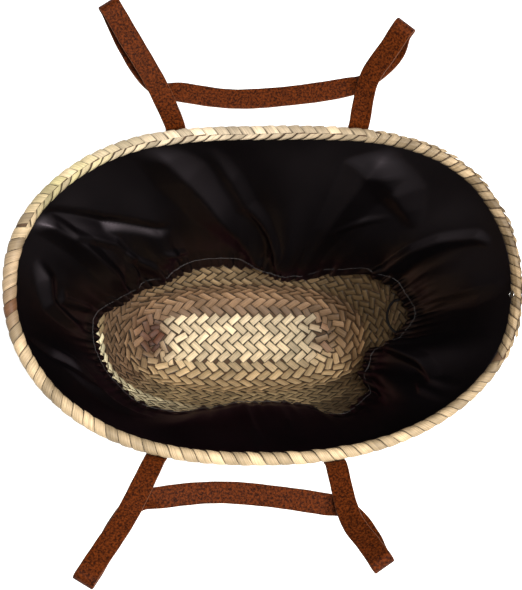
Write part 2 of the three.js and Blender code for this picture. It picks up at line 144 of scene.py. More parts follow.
FLOOR_REACH = 4
FLOOR_LEVEL = -0.0004
corners = [(-1, -1), (1, -1), (1, 1), (-1, 1)]
floor_points = [(x * FLOOR_REACH, y * FLOOR_REACH, FLOOR_LEVEL) for x, y in corners]
floor = plain_object("floor", mesh_from("floor", floor_points, [(0, 1, 2, 3)], smooth=False))
floor_white, tree, shader = new_material("floor_white")
white = tones_by(tree, noise(tree, 3.0), (0.9, 0.9, 0.9), (0.95, 0.95, 0.95))
feed(
    shader,
    {"Base Color": white, "Emission Color": white, "Emission Strength": 0.72, "Roughness": 0.9},
)
floor.data.materials.append(floor_white)

# ---------------------------------------------------------------------------
# Basket wall: a flat strip of plaited date-palm leaf, coiled from the oval base upwards and
# sewn edge to edge. A thin core stands for the hidden layers; its brown is painted shade for the
# gaps between floats. Each visible float of the twill plait, inside and outside, is its own small
# domed piece of leaf laid on that core.
# ---------------------------------------------------------------------------

WALL_HEIGHT = 282
TOP_LENGTH = 476
TOP_WIDTH = 310
WALL_THICKNESS = 3.5
TOP_SHIFT_X = 23
TOP_SHIFT_Y = 11
COURSE_BELLY = 0.9
DENT_FADE = 1.5


def table(columns, rows):
    return dict(zip(columns.split(), np.array(rows, float).T))


# up: share of the wall height. length, width, shifts: shares of the sizes at the top.
WALL = table(
    "up length width shift_x shift_y full",
    [
        (0.0, 0.462, 0.237, 0.0, 0.0, 3.0), (0.018, 0.513, 0.312, 0.02, -0.14, 2.9),
        (0.06, 0.559, 0.377, 0.05, -0.28, 2.8), (0.142, 0.602, 0.425, 0.09, -0.42, 2.7),
        (0.309, 0.697, 0.571, 0.36, -0.08, 2.6), (0.482, 0.775, 0.695, 0.56, 0.29, 2.5),
        (0.656, 0.856, 0.812, 0.71, 0.57, 2.45), (0.83, 0.93, 0.912, 0.87, 0.81, 2.4),
        (1.0, 1.0, 1.0, 1.0, 1.0, 2.35),
    ],
)
SEAMS = WALL["up"][3:]

# around, spread: degrees. push: share of the half size.
RIM_DENTS = table(
    "around spread push",
    [
        (52, 16, 0.06), (120, 12, 0.02), (214, 20, -0.035), (320, 22, -0.038), (358, 22, 0.008),
    ],
)


def smooth_between(share, start, leave, end, arrive):
    """Cubic from start to end, with the slopes that it leaves and arrives with."""
    f2, f3 = share**2, share**3
    return (
        start * (2 * f3 - 3 * f2 + 1)
        + leave * (f3 - 2 * f2 + share)
        + end * (3 * f2 - 2 * f3)
        + arrive * (f3 - f2)
    )


def read_table(rows, column, at):
    """One column of the wall table at any height, as a smooth curve through the rows."""
    ups, values = rows["up"], rows[column]
    at = np.asarray(at, float)
    i = np.clip(np.searchsorted(ups, at, side="left") - 1, 0, len(ups) - 2)
    before, after = np.maximum(i - 1, 0), np.minimum(i + 2, len(ups) - 1)
    span = ups[i + 1] - ups[i]
    share = np.clip((at - ups[i]) / span, 0, 1)
    leave = (values[i + 1] - values[before]) / (ups[i + 1] - ups[before]) * span
    arrive = (values[after] - values[i]) / (ups[after] - ups[i]) * span
    return smooth_between(share, values[i], leave, values[i + 1], arrive)


def turn_from(start, around):
    """Degrees from start to around, by the shorter way."""
    return (np.asarray(around) - start + 180) % 360 - 180


def bump(around, centre, spread):
    return np.exp(-(turn_from(centre, around) ** 2) / (2 * spread**2))


def course_belly(up):
    low = SEAMS[np.clip(np.searchsorted(SEAMS, up, side="right") - 1, 0, len(SEAMS) - 2)]
    high = SEAMS[np.clip(np.searchsorted(SEAMS, up, side="right"), 1, len(SEAMS) - 1)]
    return np.where(up < SEAMS[0], 0, COURSE_BELLY * np.sin(np.pi * (up - low) / (high - low)))


def wall_middle(up):
    x = TOP_SHIFT_X * read_table(WALL, "shift_x", up)
    y = TOP_SHIFT_Y * read_table(WALL, "shift_y", up)
    return np.stack(np.broadcast_arrays(x, y, np.asarray(up) * WALL_HEIGHT), -1)


def wall_point(around, up):
    """Point outside on the wall, in millimetres. Below 0, up runs in over the flat base."""
    around, up = np.broadcast_arrays(np.asarray(around, float), np.asarray(up, float))
    height = np.clip(up, 0, 1)
    turn = np.radians(around)
    c, s = np.cos(turn), np.sin(turn)
    full = read_table(WALL, "full", height)
    belly = course_belly(height)
    half_length = TOP_LENGTH / 2 * read_table(WALL, "length", height) + belly
    half_width = TOP_WIDTH / 2 * read_table(WALL, "width", height) + belly
    reach = (np.abs(c) ** full + np.abs(s) ** full) ** (-1 / full)
    for centre, spread, push in zip(*RIM_DENTS.values()):
        reach = reach * (1 + push * bump(around, centre, spread) * height**DENT_FADE)
    flat = np.stack([half_length * c * reach, half_width * s * reach, np.zeros_like(c)], -1)
    slope = np.stack(
        [
            np.abs(c) ** (full - 1) * np.sign(c) / half_length,
            np.abs(s) ** (full - 1) * np.sign(s) / half_width,
            0 * c,
        ],
        -1,
    )
    slope /= np.linalg.norm(slope, axis=-1, keepdims=True)
    inward = np.minimum(up, 0)[..., None] * WALL_HEIGHT
    return wall_middle(height) + flat + slope * inward


def unit(vectors):
    return vectors / np.maximum(np.linalg.norm(vectors, axis=-1, keepdims=True), 1e-12)


CLIMB_STEP = 0.012


def wall_directions(around, up):
    up = np.asarray(up, float)
    above = wall_point(around, np.minimum(up + CLIMB_STEP, 1))
    climb = unit(above - wall_point(around, up - CLIMB_STEP))
    along = unit(wall_point(np.asarray(around) + 1, up) - wall_point(np.asarray(around) - 1, up))
    return climb, along, unit(np.cross(along, climb))


def inside_wall(around, up, depth):
    out = wall_directions(around, up)[2]
    return wall_point(around, up) - out * np.asarray(depth)[..., None]


def skin_over_rings(rings, ends_joined):
    """Joins rings of points, each an array of the same count, into one closed skin."""
    count = len(rings[0])
    points = np.concatenate(rings)
    pairs = [(i, (i + 1) % count) for i in range(count)]
    faces = []
    for r in range(len(rings) if ends_joined else len(rings) - 1):
        low, high = r * count, (r + 1) % len(rings) * count
        faces += [(low + i, low + j, high + j, high + i) for i, j in pairs]
    if not ends_joined:
        first, top = len(points), len(points) - count
        points = np.concatenate([points, [rings[0].mean(0), rings[-1].mean(0)]])
        for i, j in pairs:
            faces += [(first, j, i), (first + 1, top + i, top + j)]
    a, b, c, d = (np.array([points[face[k]] for face in faces]) for k in (0, 1, 2, -1))
    volume = (a * (np.cross(b, c) + np.cross(c, d))).sum()
    return points, faces if volume > 0 else [face[::-1] for face in faces]


def skinned(name, rings, ends_joined=False):
    points, faces = skin_over_rings(rings, ends_joined)
    return plain_object(name, mesh_from(name, points * MM, faces))


def run_along(points, closed=False):
    """Length of the way to each point, and on to the first one if closed."""
    ahead = np.roll(points, -1, 0) - points if closed else np.diff(points, axis=0)
    return np.concatenate([[0], np.cumsum(np.linalg.norm(ahead, axis=1))])


CORE_DEPTH = 1.45
CORE_TOP = 0.998
CORE_STEPS = 44
ROUND = np.arange(0, 360, 2.5)

core_ups = np.linspace(0, CORE_TOP, CORE_STEPS)
core_back = WALL_THICKNESS - CORE_DEPTH
core_rings = [wall_point(ROUND, 0) + (0, 0, CORE_DEPTH)]
core_rings += [inside_wall(ROUND, up, CORE_DEPTH) for up in core_ups[1:]]
core_rings += [inside_wall(ROUND, up, core_back) for up in core_ups[:0:-1]]
core_rings += [wall_point(ROUND, 0) + (0, 0, core_back)]
basket_core = skinned("basket_core", core_rings)

# Lay of the plait: five rows of floats to a course, leaning left and right by turns.
# The strips lie flatter than 45 degrees, so floats stand further apart than the rows.
ROWS_PER_COURSE = 5
FLOAT_SPACING = 1.14
FLOAT_STARTS = {1: 0.25, -1: 0.75}
FLOAT_DEPTH = 0.55
SHINGLE = 0.6
SEAM_TRIM = 0.05
ROW_TRIMS = {0: SEAM_TRIM, ROWS_PER_COURSE - 1: -SEAM_TRIM}
BASE_STRIP_EDGE = -8.5 / WALL_HEIGHT
BASE_STRIP_WIDTH = 57.2
BASE_STRIP_RISE = 0.5
BASE_FLOATS = 13
BASE_HALF_LENGTH = 104
BASE_HALF_WIDTH = 31.5
DENSE = np.arange(0, 360, 0.25)


def joined(parts):
    return {key: np.concatenate([part[key] for part in parts]) for key in parts[0]}


def plait_course(low, high, inner):
    """Places, directions and sizes of the floats of one course of the coil."""
    levels = np.linspace(low, high, 41)
    sides = np.array([wall_point(a, levels) for a in (0, 90, 180, 270)])
    climbed = np.linalg.norm(np.diff(sides, axis=1), axis=-1).mean(0)
    climbed = np.concatenate([[0], np.cumsum(climbed)])
    row_height = climbed[-1] / ROWS_PER_COURSE
    width = row_height / math.sqrt(2)
    level_at = lambda share: np.interp(share * climbed[-1], climbed, levels)
    run = run_along(wall_point(DENSE, level_at(0.5)), closed=True)
    count = round(run[-1] / (row_height * FLOAT_SPACING))
    found = []
    for row in range(ROWS_PER_COURSE):
        share = (row + 0.5) / ROWS_PER_COURSE
        leans = 1 if row % 2 == 0 else -1
        starts = (np.arange(count) + FLOAT_STARTS[leans]) / count * run[-1]
        around = np.interp(starts, run, np.append(DENSE, 360))
        place = wall_point(around, level_at(0.5))
        for step in np.linspace(0.5, share, 5)[1:]:
            ring = wall_point(DENSE, level_at(step))
            nearest = np.argmin(np.linalg.norm(place[:, None] - ring[None], axis=-1), axis=1)
            around = DENSE[nearest]
            place = ring[nearest]
        _, along, out = wall_directions(around, level_at(share))
        climb = np.cross(out, along)
        apart = np.linalg.norm(np.roll(place, -1, 0) - np.roll(place, 1, 0), axis=1)
        spread = apart / 2 / row_height
        lie = leans * along * spread[:, None] + climb
        stretch = np.linalg.norm(lie, axis=1) / math.sqrt(2)
        size = [stretch * width, spread / stretch * width, np.full(count, width)]
        size = np.stack(size, 1)
        lie = unit(lie)
        trim = ROW_TRIMS.get(row, 0)
        place = place + lie * (trim * size[:, :1])
        size[:, 0] *= 1 - abs(trim)
        stand = SHINGLE * (0.5 - share)
        depth = WALL_THICKNESS - FLOAT_DEPTH + stand if inner else FLOAT_DEPTH - stand
        found.append(
            dict(
                place=place - out * depth,
                lie=lie,
                out=-out if inner else out,
                size=size,
                strip=(np.arange(count) - leans * (row // 2)) * 2 + (leans > 0),
                share=np.full(count, share),
                around=around,
            )
        )
    return joined(found)


def plait_base(inner):
    """Floats of the straight strip in the middle of the base."""
    row_height = BASE_STRIP_WIDTH / ROWS_PER_COURSE
    pitch = row_height * FLOAT_SPACING
    stretch = math.hypot(FLOAT_SPACING, 1) / math.sqrt(2)
    width = row_height / math.sqrt(2)
    length = stretch * width
    z = (WALL_THICKNESS - FLOAT_DEPTH if inner else FLOAT_DEPTH) + BASE_STRIP_RISE
    found = []
    for row in range(ROWS_PER_COURSE):
        leans = 1 if row % 2 == 0 else -1
        x = (np.arange(-BASE_FLOATS, BASE_FLOATS + 1) + FLOAT_STARTS[leans]) * pitch
        y = np.full_like(x, (row + 0.5 - ROWS_PER_COURSE / 2) * row_height)
        inside = (np.abs(x) / BASE_HALF_LENGTH) ** 3 + (np.abs(y) / BASE_HALF_WIDTH) ** 3 < 1
        x, y = x[inside], y[inside]
        lie = unit(np.stack([leans * FLOAT_SPACING + 0 * x, 1 + 0 * x, 0 * x], 1))
        trim = ROW_TRIMS.get(row, 0)
        size = [length * (1 - abs(trim)), FLOAT_SPACING / stretch * width, width]
        found.append(
            dict(
                place=np.stack([x, y, z + 0 * x], 1) + lie * trim * length,
                lie=lie,
                out=np.tile([0, 0, 1 if inner else -1], (len(x), 1)),
                size=np.tile(size, (len(x), 1)),
                strip=np.arange(len(x)) * 2 + (leans > 0) + 5 * row,
                share=np.full(len(x), (row + 0.5) / ROWS_PER_COURSE),
                around=np.degrees(np.arctan2(y, x)),
            )
        )
    return joined(found)


def layered(count, base, *layers):
    """One base colour for every piece, with further colours over it by their shares."""
    tone = np.tile(paint(*base), (count, 1))
    for colour, share in layers:
        share = np.clip(share, 0, 1)[:, None]
        tone = tone * (1 - share) + paint(*colour) * share
    return tone


def inside_tone(course, floats):
    """Colour of the leaf inside, with painted shade and light: cream on the base, browner at both
    ends and up the wall.

    A share grows from a place in millimetres, or from how far a float lies to one side.
    """
    x, y = floats["place"][:, 0], floats["place"][:, 1]
    turn = np.radians(floats["around"])
    back, left, right = np.sin(turn), -np.cos(turn), np.cos(turn)
    share = floats["share"]
    if course == -1:
        return layered(
            len(x),
            (238, 214, 174),
            ((224, 198, 154), (-y - 6) / 40),
            # Painted shade: dark brown in the crease of the crumpled leaves at the left end of
            # the base.
            ((96, 60, 42), (-x - 84) / 16),
            # Painted shade: browner at the right end of the base, which the right wall shades.
            ((160, 122, 92), (x - 78) / 24),
        )
    if course == 0:
        tone = layered(
            len(x),
            (204, 174, 130),
            ((158, 126, 96), back * 3),
            ((220, 194, 152), (0.7 - 2.5 * share) * (back < 0.2)),
            # Painted shade: dark brown in the crease at the left end, low in this course.
            ((84, 52, 38), (left - 0.74) * 6 * (1 - share)),
            ((124, 94, 70), (left - 0.7) * 3 * share),
            # Painted shade on the right side, away from the light.
            ((152, 120, 86), (right - 0.75) * 4),
        )
        # Painted shade: darker towards both seams of this course at the back, in the creases.
        crease_shade = 0.5 * np.abs(2 * share - 1) ** 2 * (back > 0.2)
        return tone * (1 - crease_shade)[:, None]
    if course == 1:
        return layered(
            len(x),
            (176, 152, 112),
            ((146, 122, 90), back * 3),
            ((118, 92, 68), (left - 0.55) * 4),
            # Painted shade on the right side, away from the light.
            ((96, 76, 50), (right - 0.35) * 3),
        )
    return layered(
        len(x),
        (156, 134, 98),
        # Painted light: bright cream on the left front wall, which faces the light.
        ((238, 224, 182), (left - 0.2) * 2 * (back < 0)),
        # Painted shade on the right side, away from the light.
        ((84, 66, 44), (right - 0.2) * 3),
    )


def outside_tone(course, floats):
    """Colour of the leaf outside, which is the same all over but for the turns of the coil."""
    shade = 1 - 0.05 * (course % 2)
    return np.tile(paint(219, 203, 160) * shade, (len(floats["share"]), 1))


def store_vectors(mesh, name, values):
    held = mesh.attributes.new(name, "FLOAT_VECTOR", "POINT")
    held.data.foreach_set("vector", np.asarray(values, float).ravel())


def grid_faces(rows, columns):
    starts = [row * columns + i for row in range(rows - 1) for i in range(columns - 1)]
    return [(a, a + columns, a + columns + 1, a + 1) for a in starts]


# One float of leaf, two wide and one across, its ends and edges turned down.
# First the place along or across it, then how far the leaf is lifted there.
FLOAT_ALONG = [(-1, -0.13), (-0.93, -0.04), (-0.55, 0.02), (0, 0.03)]
FLOAT_ALONG += [(-x, lift) for x, lift in FLOAT_ALONG[2::-1]]
FLOAT_ACROSS = [(-0.5, -0.07), (-0.46, -0.005), (0, 0.02), (0.46, -0.005), (0.5, -0.07)]


def float_tile():
    points = [(x, y, up_x + up_y) for x, up_x in FLOAT_ALONG for y, up_y in FLOAT_ACROSS]
    mesh = mesh_from("float_tile", points, grid_faces(len(FLOAT_ALONG), len(FLOAT_ACROSS)))
    store_vectors(mesh, "leaf", points)
    return plain_object("float_tile", mesh)


def new_group(name, kind, takes, gives):
    """An empty node group with its inputs and outputs, each with its sort of socket."""
    tree = bpy.data.node_groups.new(name, kind)
    for in_out, sockets in (("INPUT", takes), ("OUTPUT", gives)):
        for socket, sort in sockets.items():
            tree.interface.new_socket(socket, in_out=in_out, socket_type="NodeSocket" + sort)
    return tree, tree.nodes.new("NodeGroupInput").outputs, tree.nodes.new("NodeGroupOutput")


def laid_pieces_tree():
    """Lays a small piece on every point, turned to its lie and out directions."""
    takes = {
        "Geometry": "Geometry",
        "Piece": "Object",
        "Unevenness": "Vector",
        "Seed": "Int",
        "Material": "Material",
    }
    tree, given, result = new_group(
        "lay_pieces", "GeometryNodeTree", takes, {"Geometry": "Geometry"}
    )

    def add(kind, given, output, **settings):
        return add_node(tree, kind, given, **settings).outputs[output]

    def stored(name):
        kind = "GeometryNodeInputNamedAttribute"
        return add(kind, {"Name": name}, "Attribute", data_type="FLOAT_VECTOR")

    turn_to = "FunctionNodeAlignRotationToVector"
    lie = add(turn_to, {"Vector": stored("lie")}, "Rotation", axis="X")
    facing = {"Rotation": lie, "Vector": stored("out")}
    out = add(turn_to, facing, "Rotation", axis="Z", pivot_axis="X")
    most = given["Unevenness"]
    least = add("ShaderNodeVectorMath", {0: most, "Scale": -1}, "Vector", operation="SCALE")
    limits = {"Min": least, "Max": most, "Seed": given["Seed"]}
    uneven = add("FunctionNodeRandomValue", limits, "Value", data_type="FLOAT_VECTOR")
    turned = {"Rotation": out, "Rotate By": uneven}
    turn = add("FunctionNodeRotateRotation", turned, "Rotation", rotation_space="LOCAL")
    piece = add("GeometryNodeObjectInfo", {"Object": given["Piece"]}, "Geometry")
    laid = {"Points": given["Geometry"], "Instance": piece, "Rotation": turn}
    laid["Scale"] = stored("size")
    instances = add("GeometryNodeInstanceOnPoints", laid, "Instances")
    real = add("GeometryNodeRealizeInstances", {"Geometry": instances}, "Geometry")
    finish = {"Geometry": real, "Material": given["Material"]}
    feed(result, {"Geometry": add("GeometryNodeSetMaterial", finish, "Geometry")})
    return tree


def lay_pieces(name, tree, piece, floats, unevenness, seed, material):
    """One joined mesh of every laid piece. floats holds places in millimetres."""
    mesh = bpy.data.meshes.new(name + "_points")
    mesh.from_pydata([tuple(p) for p in floats["place"] * MM], [], [])
    for key in ("lie", "out"):
        store_vectors(mesh, key, floats[key])
    store_vectors(mesh, "size", floats["size"] * MM)
    held = mesh.attributes.new("tone", "FLOAT_COLOR", "POINT")
    rgba = np.concatenate([floats["tone"], floats["chance"][:, None]], 1)
    held.data.foreach_set("color", rgba.ravel())
    bed = plain_object(name + "_points", mesh)
    modifier = bed.modifiers.new("lay", "NODES")
    modifier.node_group = tree
    given = {"Piece": piece, "Unevenness": unevenness, "Seed": seed, "Material": material}
    for socket in tree.interface.items_tree:
        if socket.in_out == "INPUT" and socket.name in given:
            modifier[socket.identifier] = given[socket.name]
    bed.update_tag()
    graph = bpy.context.evaluated_depsgraph_get()
    graph.update()
    made = bpy.data.meshes.new_from_object(bed.evaluated_get(graph), depsgraph=graph)
    made.name = name
    made.polygons.foreach_set("use_smooth", [True] * len(made.polygons))
    bpy.data.objects.remove(bed)
    return plain_object(name, made)


def leaf_group():
    """Dried palm leaf: fine streaks along each strip, blotches, and painted shade along the edges
    and at the tips.
    """
    tree, given, result = new_group(
        "palm_leaf",
        "ShaderNodeTree",
        dict(Leaf="Vector", Place="Vector", Tone="Color", Chance="Float", Edge_shade="Float"),
        dict(Color="Color", Roughness="Float", Height="Float"),
    )

    def calc(operation, *values):
        kind = "ShaderNodeMath"
        return add_node(tree, kind, dict(enumerate(values)), operation=operation).outputs[0]

    def past(value, start, end):
        limits = {"From Min": start, "From Max": end, "Value": calc("ABSOLUTE", value)}
        return add_node(tree, "ShaderNodeMapRange", limits).outputs["Result"]

    parts = add_node(tree, "ShaderNodeSeparateXYZ", {"Vector": given["Leaf"]}).outputs
    # Streaks lie along the leaf, 17 times as fine across it, and chance moves them on each piece.
    spot = {
        "X": calc("MULTIPLY", parts["X"], 0.7),
        "Y": calc("MULTIPLY", parts["Y"], 17.0),
        "Z": calc("MULTIPLY", given["Chance"], 91.0),
    }
    spot = add_node(tree, "ShaderNodeCombineXYZ", spot).outputs["Vector"]
    streaks = noise(tree, 1.0, spot, Detail=3.0)
    blotches = noise(tree, 60.0, given["Place"], Detail=4.0)
    brightness = calc("MULTIPLY_ADD", streaks, 1.5, 0.25)
    patch = calc("MULTIPLY_ADD", blotches, 0.9, 0.55)
    own = calc("MULTIPLY_ADD", given["Chance"], 0.8, 0.6)
    product = calc("MULTIPLY", calc("MULTIPLY", brightness, patch), own)
    # Painted shade: darker along the long edges, in the gaps between strips, and at the tips,
    # where the leaf dives under.
    rim = calc("MAXIMUM", past(parts["Y"], 0.38, 0.47), past(parts["X"], 0.84, 0.97))
    left = calc("SUBTRACT", 1.0, calc("MULTIPLY", rim, given["Edge_shade"]))
    shade = {0: given["Tone"], "Scale": calc("MULTIPLY", product, left)}
    shade = add_node(tree, "ShaderNodeVectorMath", shade, operation="SCALE").outputs["Vector"]
    rough = calc("MULTIPLY_ADD", streaks, 0.25, 0.42)
    feed(result, {"Color": shade, "Roughness": rough, "Height": streaks})
    return tree


def object_place(tree):
    return add_node(tree, "ShaderNodeTexCoord").outputs["Object"]


def raise_by(shader, height, distance, strength=1.0):
    given = {"Strength": strength, "Distance": distance, "Height": height}
    relief = add_node(shader.id_data, "ShaderNodeBump", given)
    feed(shader, {"Normal": relief.outputs["Normal"]})


# edge: how strongly the painted shade darkens the edges and tips of each piece.
def leaf_material(name, group, edge, bump_distance):
    material, tree, shader = new_material(name)
    leaf = add_node(tree, "ShaderNodeAttribute", attribute_name="leaf").outputs
    tone = add_node(tree, "ShaderNodeAttribute", attribute_name="tone").outputs
    look = add_node(tree, "ShaderNodeGroup", node_tree=group)
    given = {"Edge_shade": edge, "Leaf": leaf["Vector"], "Tone": tone["Color"]}
    feed(look, {**given, "Chance": tone["Alpha"], "Place": object_place(tree)})
    look = look.outputs
    feed(shader, {"Base Color": look["Color"], "Roughness": look["Roughness"]})
    feed(shader, {"Specular IOR Level": 0.35})
    raise_by(shader, look["Height"], bump_distance, 0.6)
    return material


palm_leaf = leaf_group()
plaited_leaf = leaf_material("plaited_leaf", palm_leaf, 0.97, 0.0006)

# The core's brown is painted shade, seen in the gaps between the floats and between the rim
# wraps.
shaded_core_leaf, tree, shader = new_material("shaded_core_leaf")
brown = tones_by(tree, noise(tree, 400.0), paint(62, 42, 26), paint(112, 84, 56))
feed(shader, {"Base Color": brown, "Roughness": 0.8})
basket_core.data.materials.append(shaded_core_leaf)

# Crumpled leaves at both ends of the base: x, y, reach in millimetres, and how far they turn.
CRUMPLES = [(-104, -4, 30, 0.34), (92, 6, 20, 0.4)]
CRUMPLE_TURN = 1.4
CRUMPLE_TOP = 60
CRUMPLE_RISE = 7
INSIDE_COURSES = 5
STRIPS_PER_COURSE = 211

# Chance: how far a float lies in or out, how much of its tone is its strip's, how far it turns.
PLACE_CHANCE = 0.15
STRIP_LUCKS = 4000
STRIP_SHARE = 0.6
FLOAT_TURNS = (0.035, 0.02, 0.03)

lay_tree = laid_pieces_tree()
tile = float_tile()
chances = np.random.default_rng(11)
strip_luck = chances.random(STRIP_LUCKS)
courses = [(BASE_STRIP_EDGE, SEAMS[0])] + list(zip(SEAMS[:-1], SEAMS[1:]))
weaves = []
for name, inner, tone_of, seen in [
    ("weave_outside", False, outside_tone, courses),
    ("weave_inside", True, inside_tone, courses[:INSIDE_COURSES]),
]:
    laid = [plait_base(inner)]
    laid[0]["tone"] = tone_of(-1, laid[0])
    for number, (low, high) in enumerate(seen):
        laid.append(plait_course(low, high, inner))
        laid[-1]["tone"] = tone_of(number, laid[-1])
        laid[-1]["strip"] = laid[-1]["strip"] + STRIPS_PER_COURSE * (number + 1)
    floats = joined(laid)
    luck = strip_luck[floats["strip"].astype(int) % len(strip_luck)]
    count = len(luck)
    own_luck = chances.random(count)
    floats["chance"] = np.clip(STRIP_SHARE * luck + (1 - STRIP_SHARE) * own_luck, 0, 1)
    moved = chances.uniform(-PLACE_CHANCE, PLACE_CHANCE, count)
    place = floats["place"] + floats["out"] * moved[:, None]
    crumpled = np.zeros(count)
    for x, y, reach, amount in CRUMPLES if inner else []:
        away = np.hypot(place[:, 0] - x, place[:, 1] - y)
        crumpled += amount * np.exp(-((away / reach) ** 2)) * (place[:, 2] < CRUMPLE_TOP)
    crumpled = crumpled[:, None]
    for key in ("lie", "out"):
        twist = chances.uniform(-CRUMPLE_TURN, CRUMPLE_TURN, (count, 3))
        floats[key] = unit(floats[key] + twist * crumpled)
    floats["place"] = place + floats["out"] * crumpled * CRUMPLE_RISE
    weaves.append(lay_pieces(name, lay_tree, tile, floats, FLOAT_TURNS, 5, plaited_leaf))
bpy.data.objects.remove(tile)

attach(basket_core, "root")
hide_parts("basket_body")
for weave in weaves:
    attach(weave, "root")

# ---------------------------------------------------------------------------
# Rim binding: the top edge is bound with palm leaf. Most of it is overcast with slanting
# wraps laid side by side; along the back and the right it is worked as a two-sided braid.
# ---------------------------------------------------------------------------

RIM_WIDTH = 11.3
RIM_RISE = 6
RIM_OUTER_DROP = 8
RIM_INNER_DROP = 2.4

# around: degrees. wide: share of the rim width.
RIM_WIDTHS = table(
    "around wide",
    [(0, 0.82), (45, 0.94), (95, 1.18), (160, 1.22), (200, 1.08), (270, 1.0), (335, 0.85)],
)

# across: share of half the rim width. up: share of the rise, or of the drop of each lip.
RIM_OUTLINE = [
    (0.9, -1.0), (1.0, -0.45), (1.0, 0.2), (0.66, 0.8), (0.0, 1.0), (-0.66, 0.8), (-1.0, 0.2),
    (-1.0, -0.45), (-0.9, -1.0),
]


def rim_outline():
    found = []
    for across, up in RIM_OUTLINE:
        share = RIM_RISE if up > 0 else (RIM_OUTER_DROP if across > 0 else RIM_INNER_DROP)
        found.append((across * RIM_WIDTH / 2, up * share))
    return np.array(found)


def smooth(share):
    share = np.clip(share, 0, 1)
    return share * share * (3 - 2 * share)


def read_round(rows, column, around):
    """One column of a table that runs round the basket, eased from row to row."""
    turn = np.asarray(around, float) % 360
    angles, values = rows["around"], rows[column]
    angles = np.concatenate([[angles[-1] - 360], angles, [angles[0] + 360]])
    values = np.concatenate([[values[-1]], values, [values[0]]])
    i = np.clip(np.searchsorted(angles, turn, side="left") - 1, 0, len(angles) - 2)
    eased = smooth((turn - angles[i]) / (angles[i + 1] - angles[i]))
    return values[i] + (values[i + 1] - values[i]) * eased


def rim_ring(across, up):
    climb, _, out = wall_directions(ROUND, 1.0)
    middle = inside_wall(ROUND, 1.0, WALL_THICKNESS / 2)
    return middle + out * np.asarray(across)[..., None] + climb * np.asarray(up)[..., None]


# The core is the rim's outline drawn in a little, with a slot from below that takes the wall.
RIM_CORE_SHARE = 0.88
RIM_SLOT = [(-2.4, -2.0), (-2.4, 0.5), (2.2, 0.5), (2.2, -7.0)]
widths = read_round(RIM_WIDTHS, "wide", ROUND)
rings = [rim_ring(a * widths, up + 0 * ROUND) for a, up in rim_outline() * RIM_CORE_SHARE]
rings += [rim_ring(a + 0 * ROUND, up + 0 * ROUND) for a, up in RIM_SLOT]
rim_core = skinned("rim_core", rings, ends_joined=True)
# Its brown is painted shade in the gaps between the wraps.
rim_core.data.materials.append(shaded_core_leaf)

WRAP_STEPS = 15
WRAP_CROWN = 0.4
WRAP_EDGE_DROP = 0.6


def wrap_tile(name, path, slant, width, lap):
    """A strip of leaf bent over the rim along path; lap lifts one long edge over the next."""
    lengths = run_along(path)
    steps = np.linspace(0, lengths[-1], WRAP_STEPS)
    bent = np.stack([np.interp(steps, lengths, path[:, axis]) for axis in (0, 1)], 1)
    tangent = np.gradient(bent, axis=0)
    normal = unit(np.stack([-tangent[:, 1], tangent[:, 0]], 1))
    normal *= np.sign((normal * (bent + (0, 3))).sum(1))[:, None]
    widths = np.array([-0.5, -0.45, -0.25, 0, 0.25, 0.45, 0.5])
    side = [-WRAP_EDGE_DROP, 0, WRAP_CROWN * 0.75]
    lift = np.array(side + [WRAP_CROWN] + side[::-1]) + widths * lap
    points, leaf = [], []
    for share, spot, out in zip(steps / lengths[-1], bent, normal):
        for w, high in zip(widths, lift):
            points.append(((share - 0.5) * slant + w * width, *(spot + out * high)))
            leaf.append((share * 1.7 - 0.85, w * 0.96, 0))
    mesh = mesh_from(name, points, grid_faces(WRAP_STEPS, len(widths)))
    if sum(p.normal.z * p.area for p in mesh.polygons) < 0:
        mesh.flip_normals()
    store_vectors(mesh, "leaf", leaf)
    return plain_object(name, mesh)


rim_run = run_along(wall_point(DENSE, 1.0), closed=True)


def spots_on_rim(pitch, start, end, offset):
    """Angles of evenly spaced spots on the rim from start to end, going round in degrees."""
    run = np.interp([start % 360, end % 360], np.append(DENSE, 360), rim_run)
    if run[1] <= run[0]:
        run[1] += rim_run[-1]
    count = round((run[1] - run[0]) / pitch)
    spots = run[0] + (np.arange(count) + 0.5 + offset) * (run[1] - run[0]) / count
    return np.interp(spots % rim_run[-1], rim_run, np.append(DENSE, 360))


def rim_tone(around):
    """Colour of the rim: cream at the back left, browner at the right, one dark stain left."""
    count = len(around)
    return layered(
        count,
        (198, 172, 134),
        ((226, 204, 172), bump(around, 105, 30)),
        ((196, 184, 132), bump(around, 142, 14) * chances.uniform(0.2, 1, count)),
        ((172, 146, 114), bump(around, 175, 16)),
        ((112, 70, 42), bump(around, 187, 3) * 0.9),
        ((156, 132, 100), bump(around, 12, 36)),
        ((110, 88, 58), bump(around, 22, 30) * chances.uniform(0, 0.8, count)),
    )


def rim_pieces(around, ragged):
    climb, along, out = wall_directions(around, 1.0)
    size = chances.uniform(1 - ragged, 1 + ragged, (len(around), 3))
    size[:, 1] *= read_round(RIM_WIDTHS, "wide", around)
    return dict(
        place=inside_wall(around, 1.0, WALL_THICKNESS / 2),
        lie=-along,
        out=climb,
        size=size,
        tone=rim_tone(around),
        chance=chances.random(len(around)),
    )


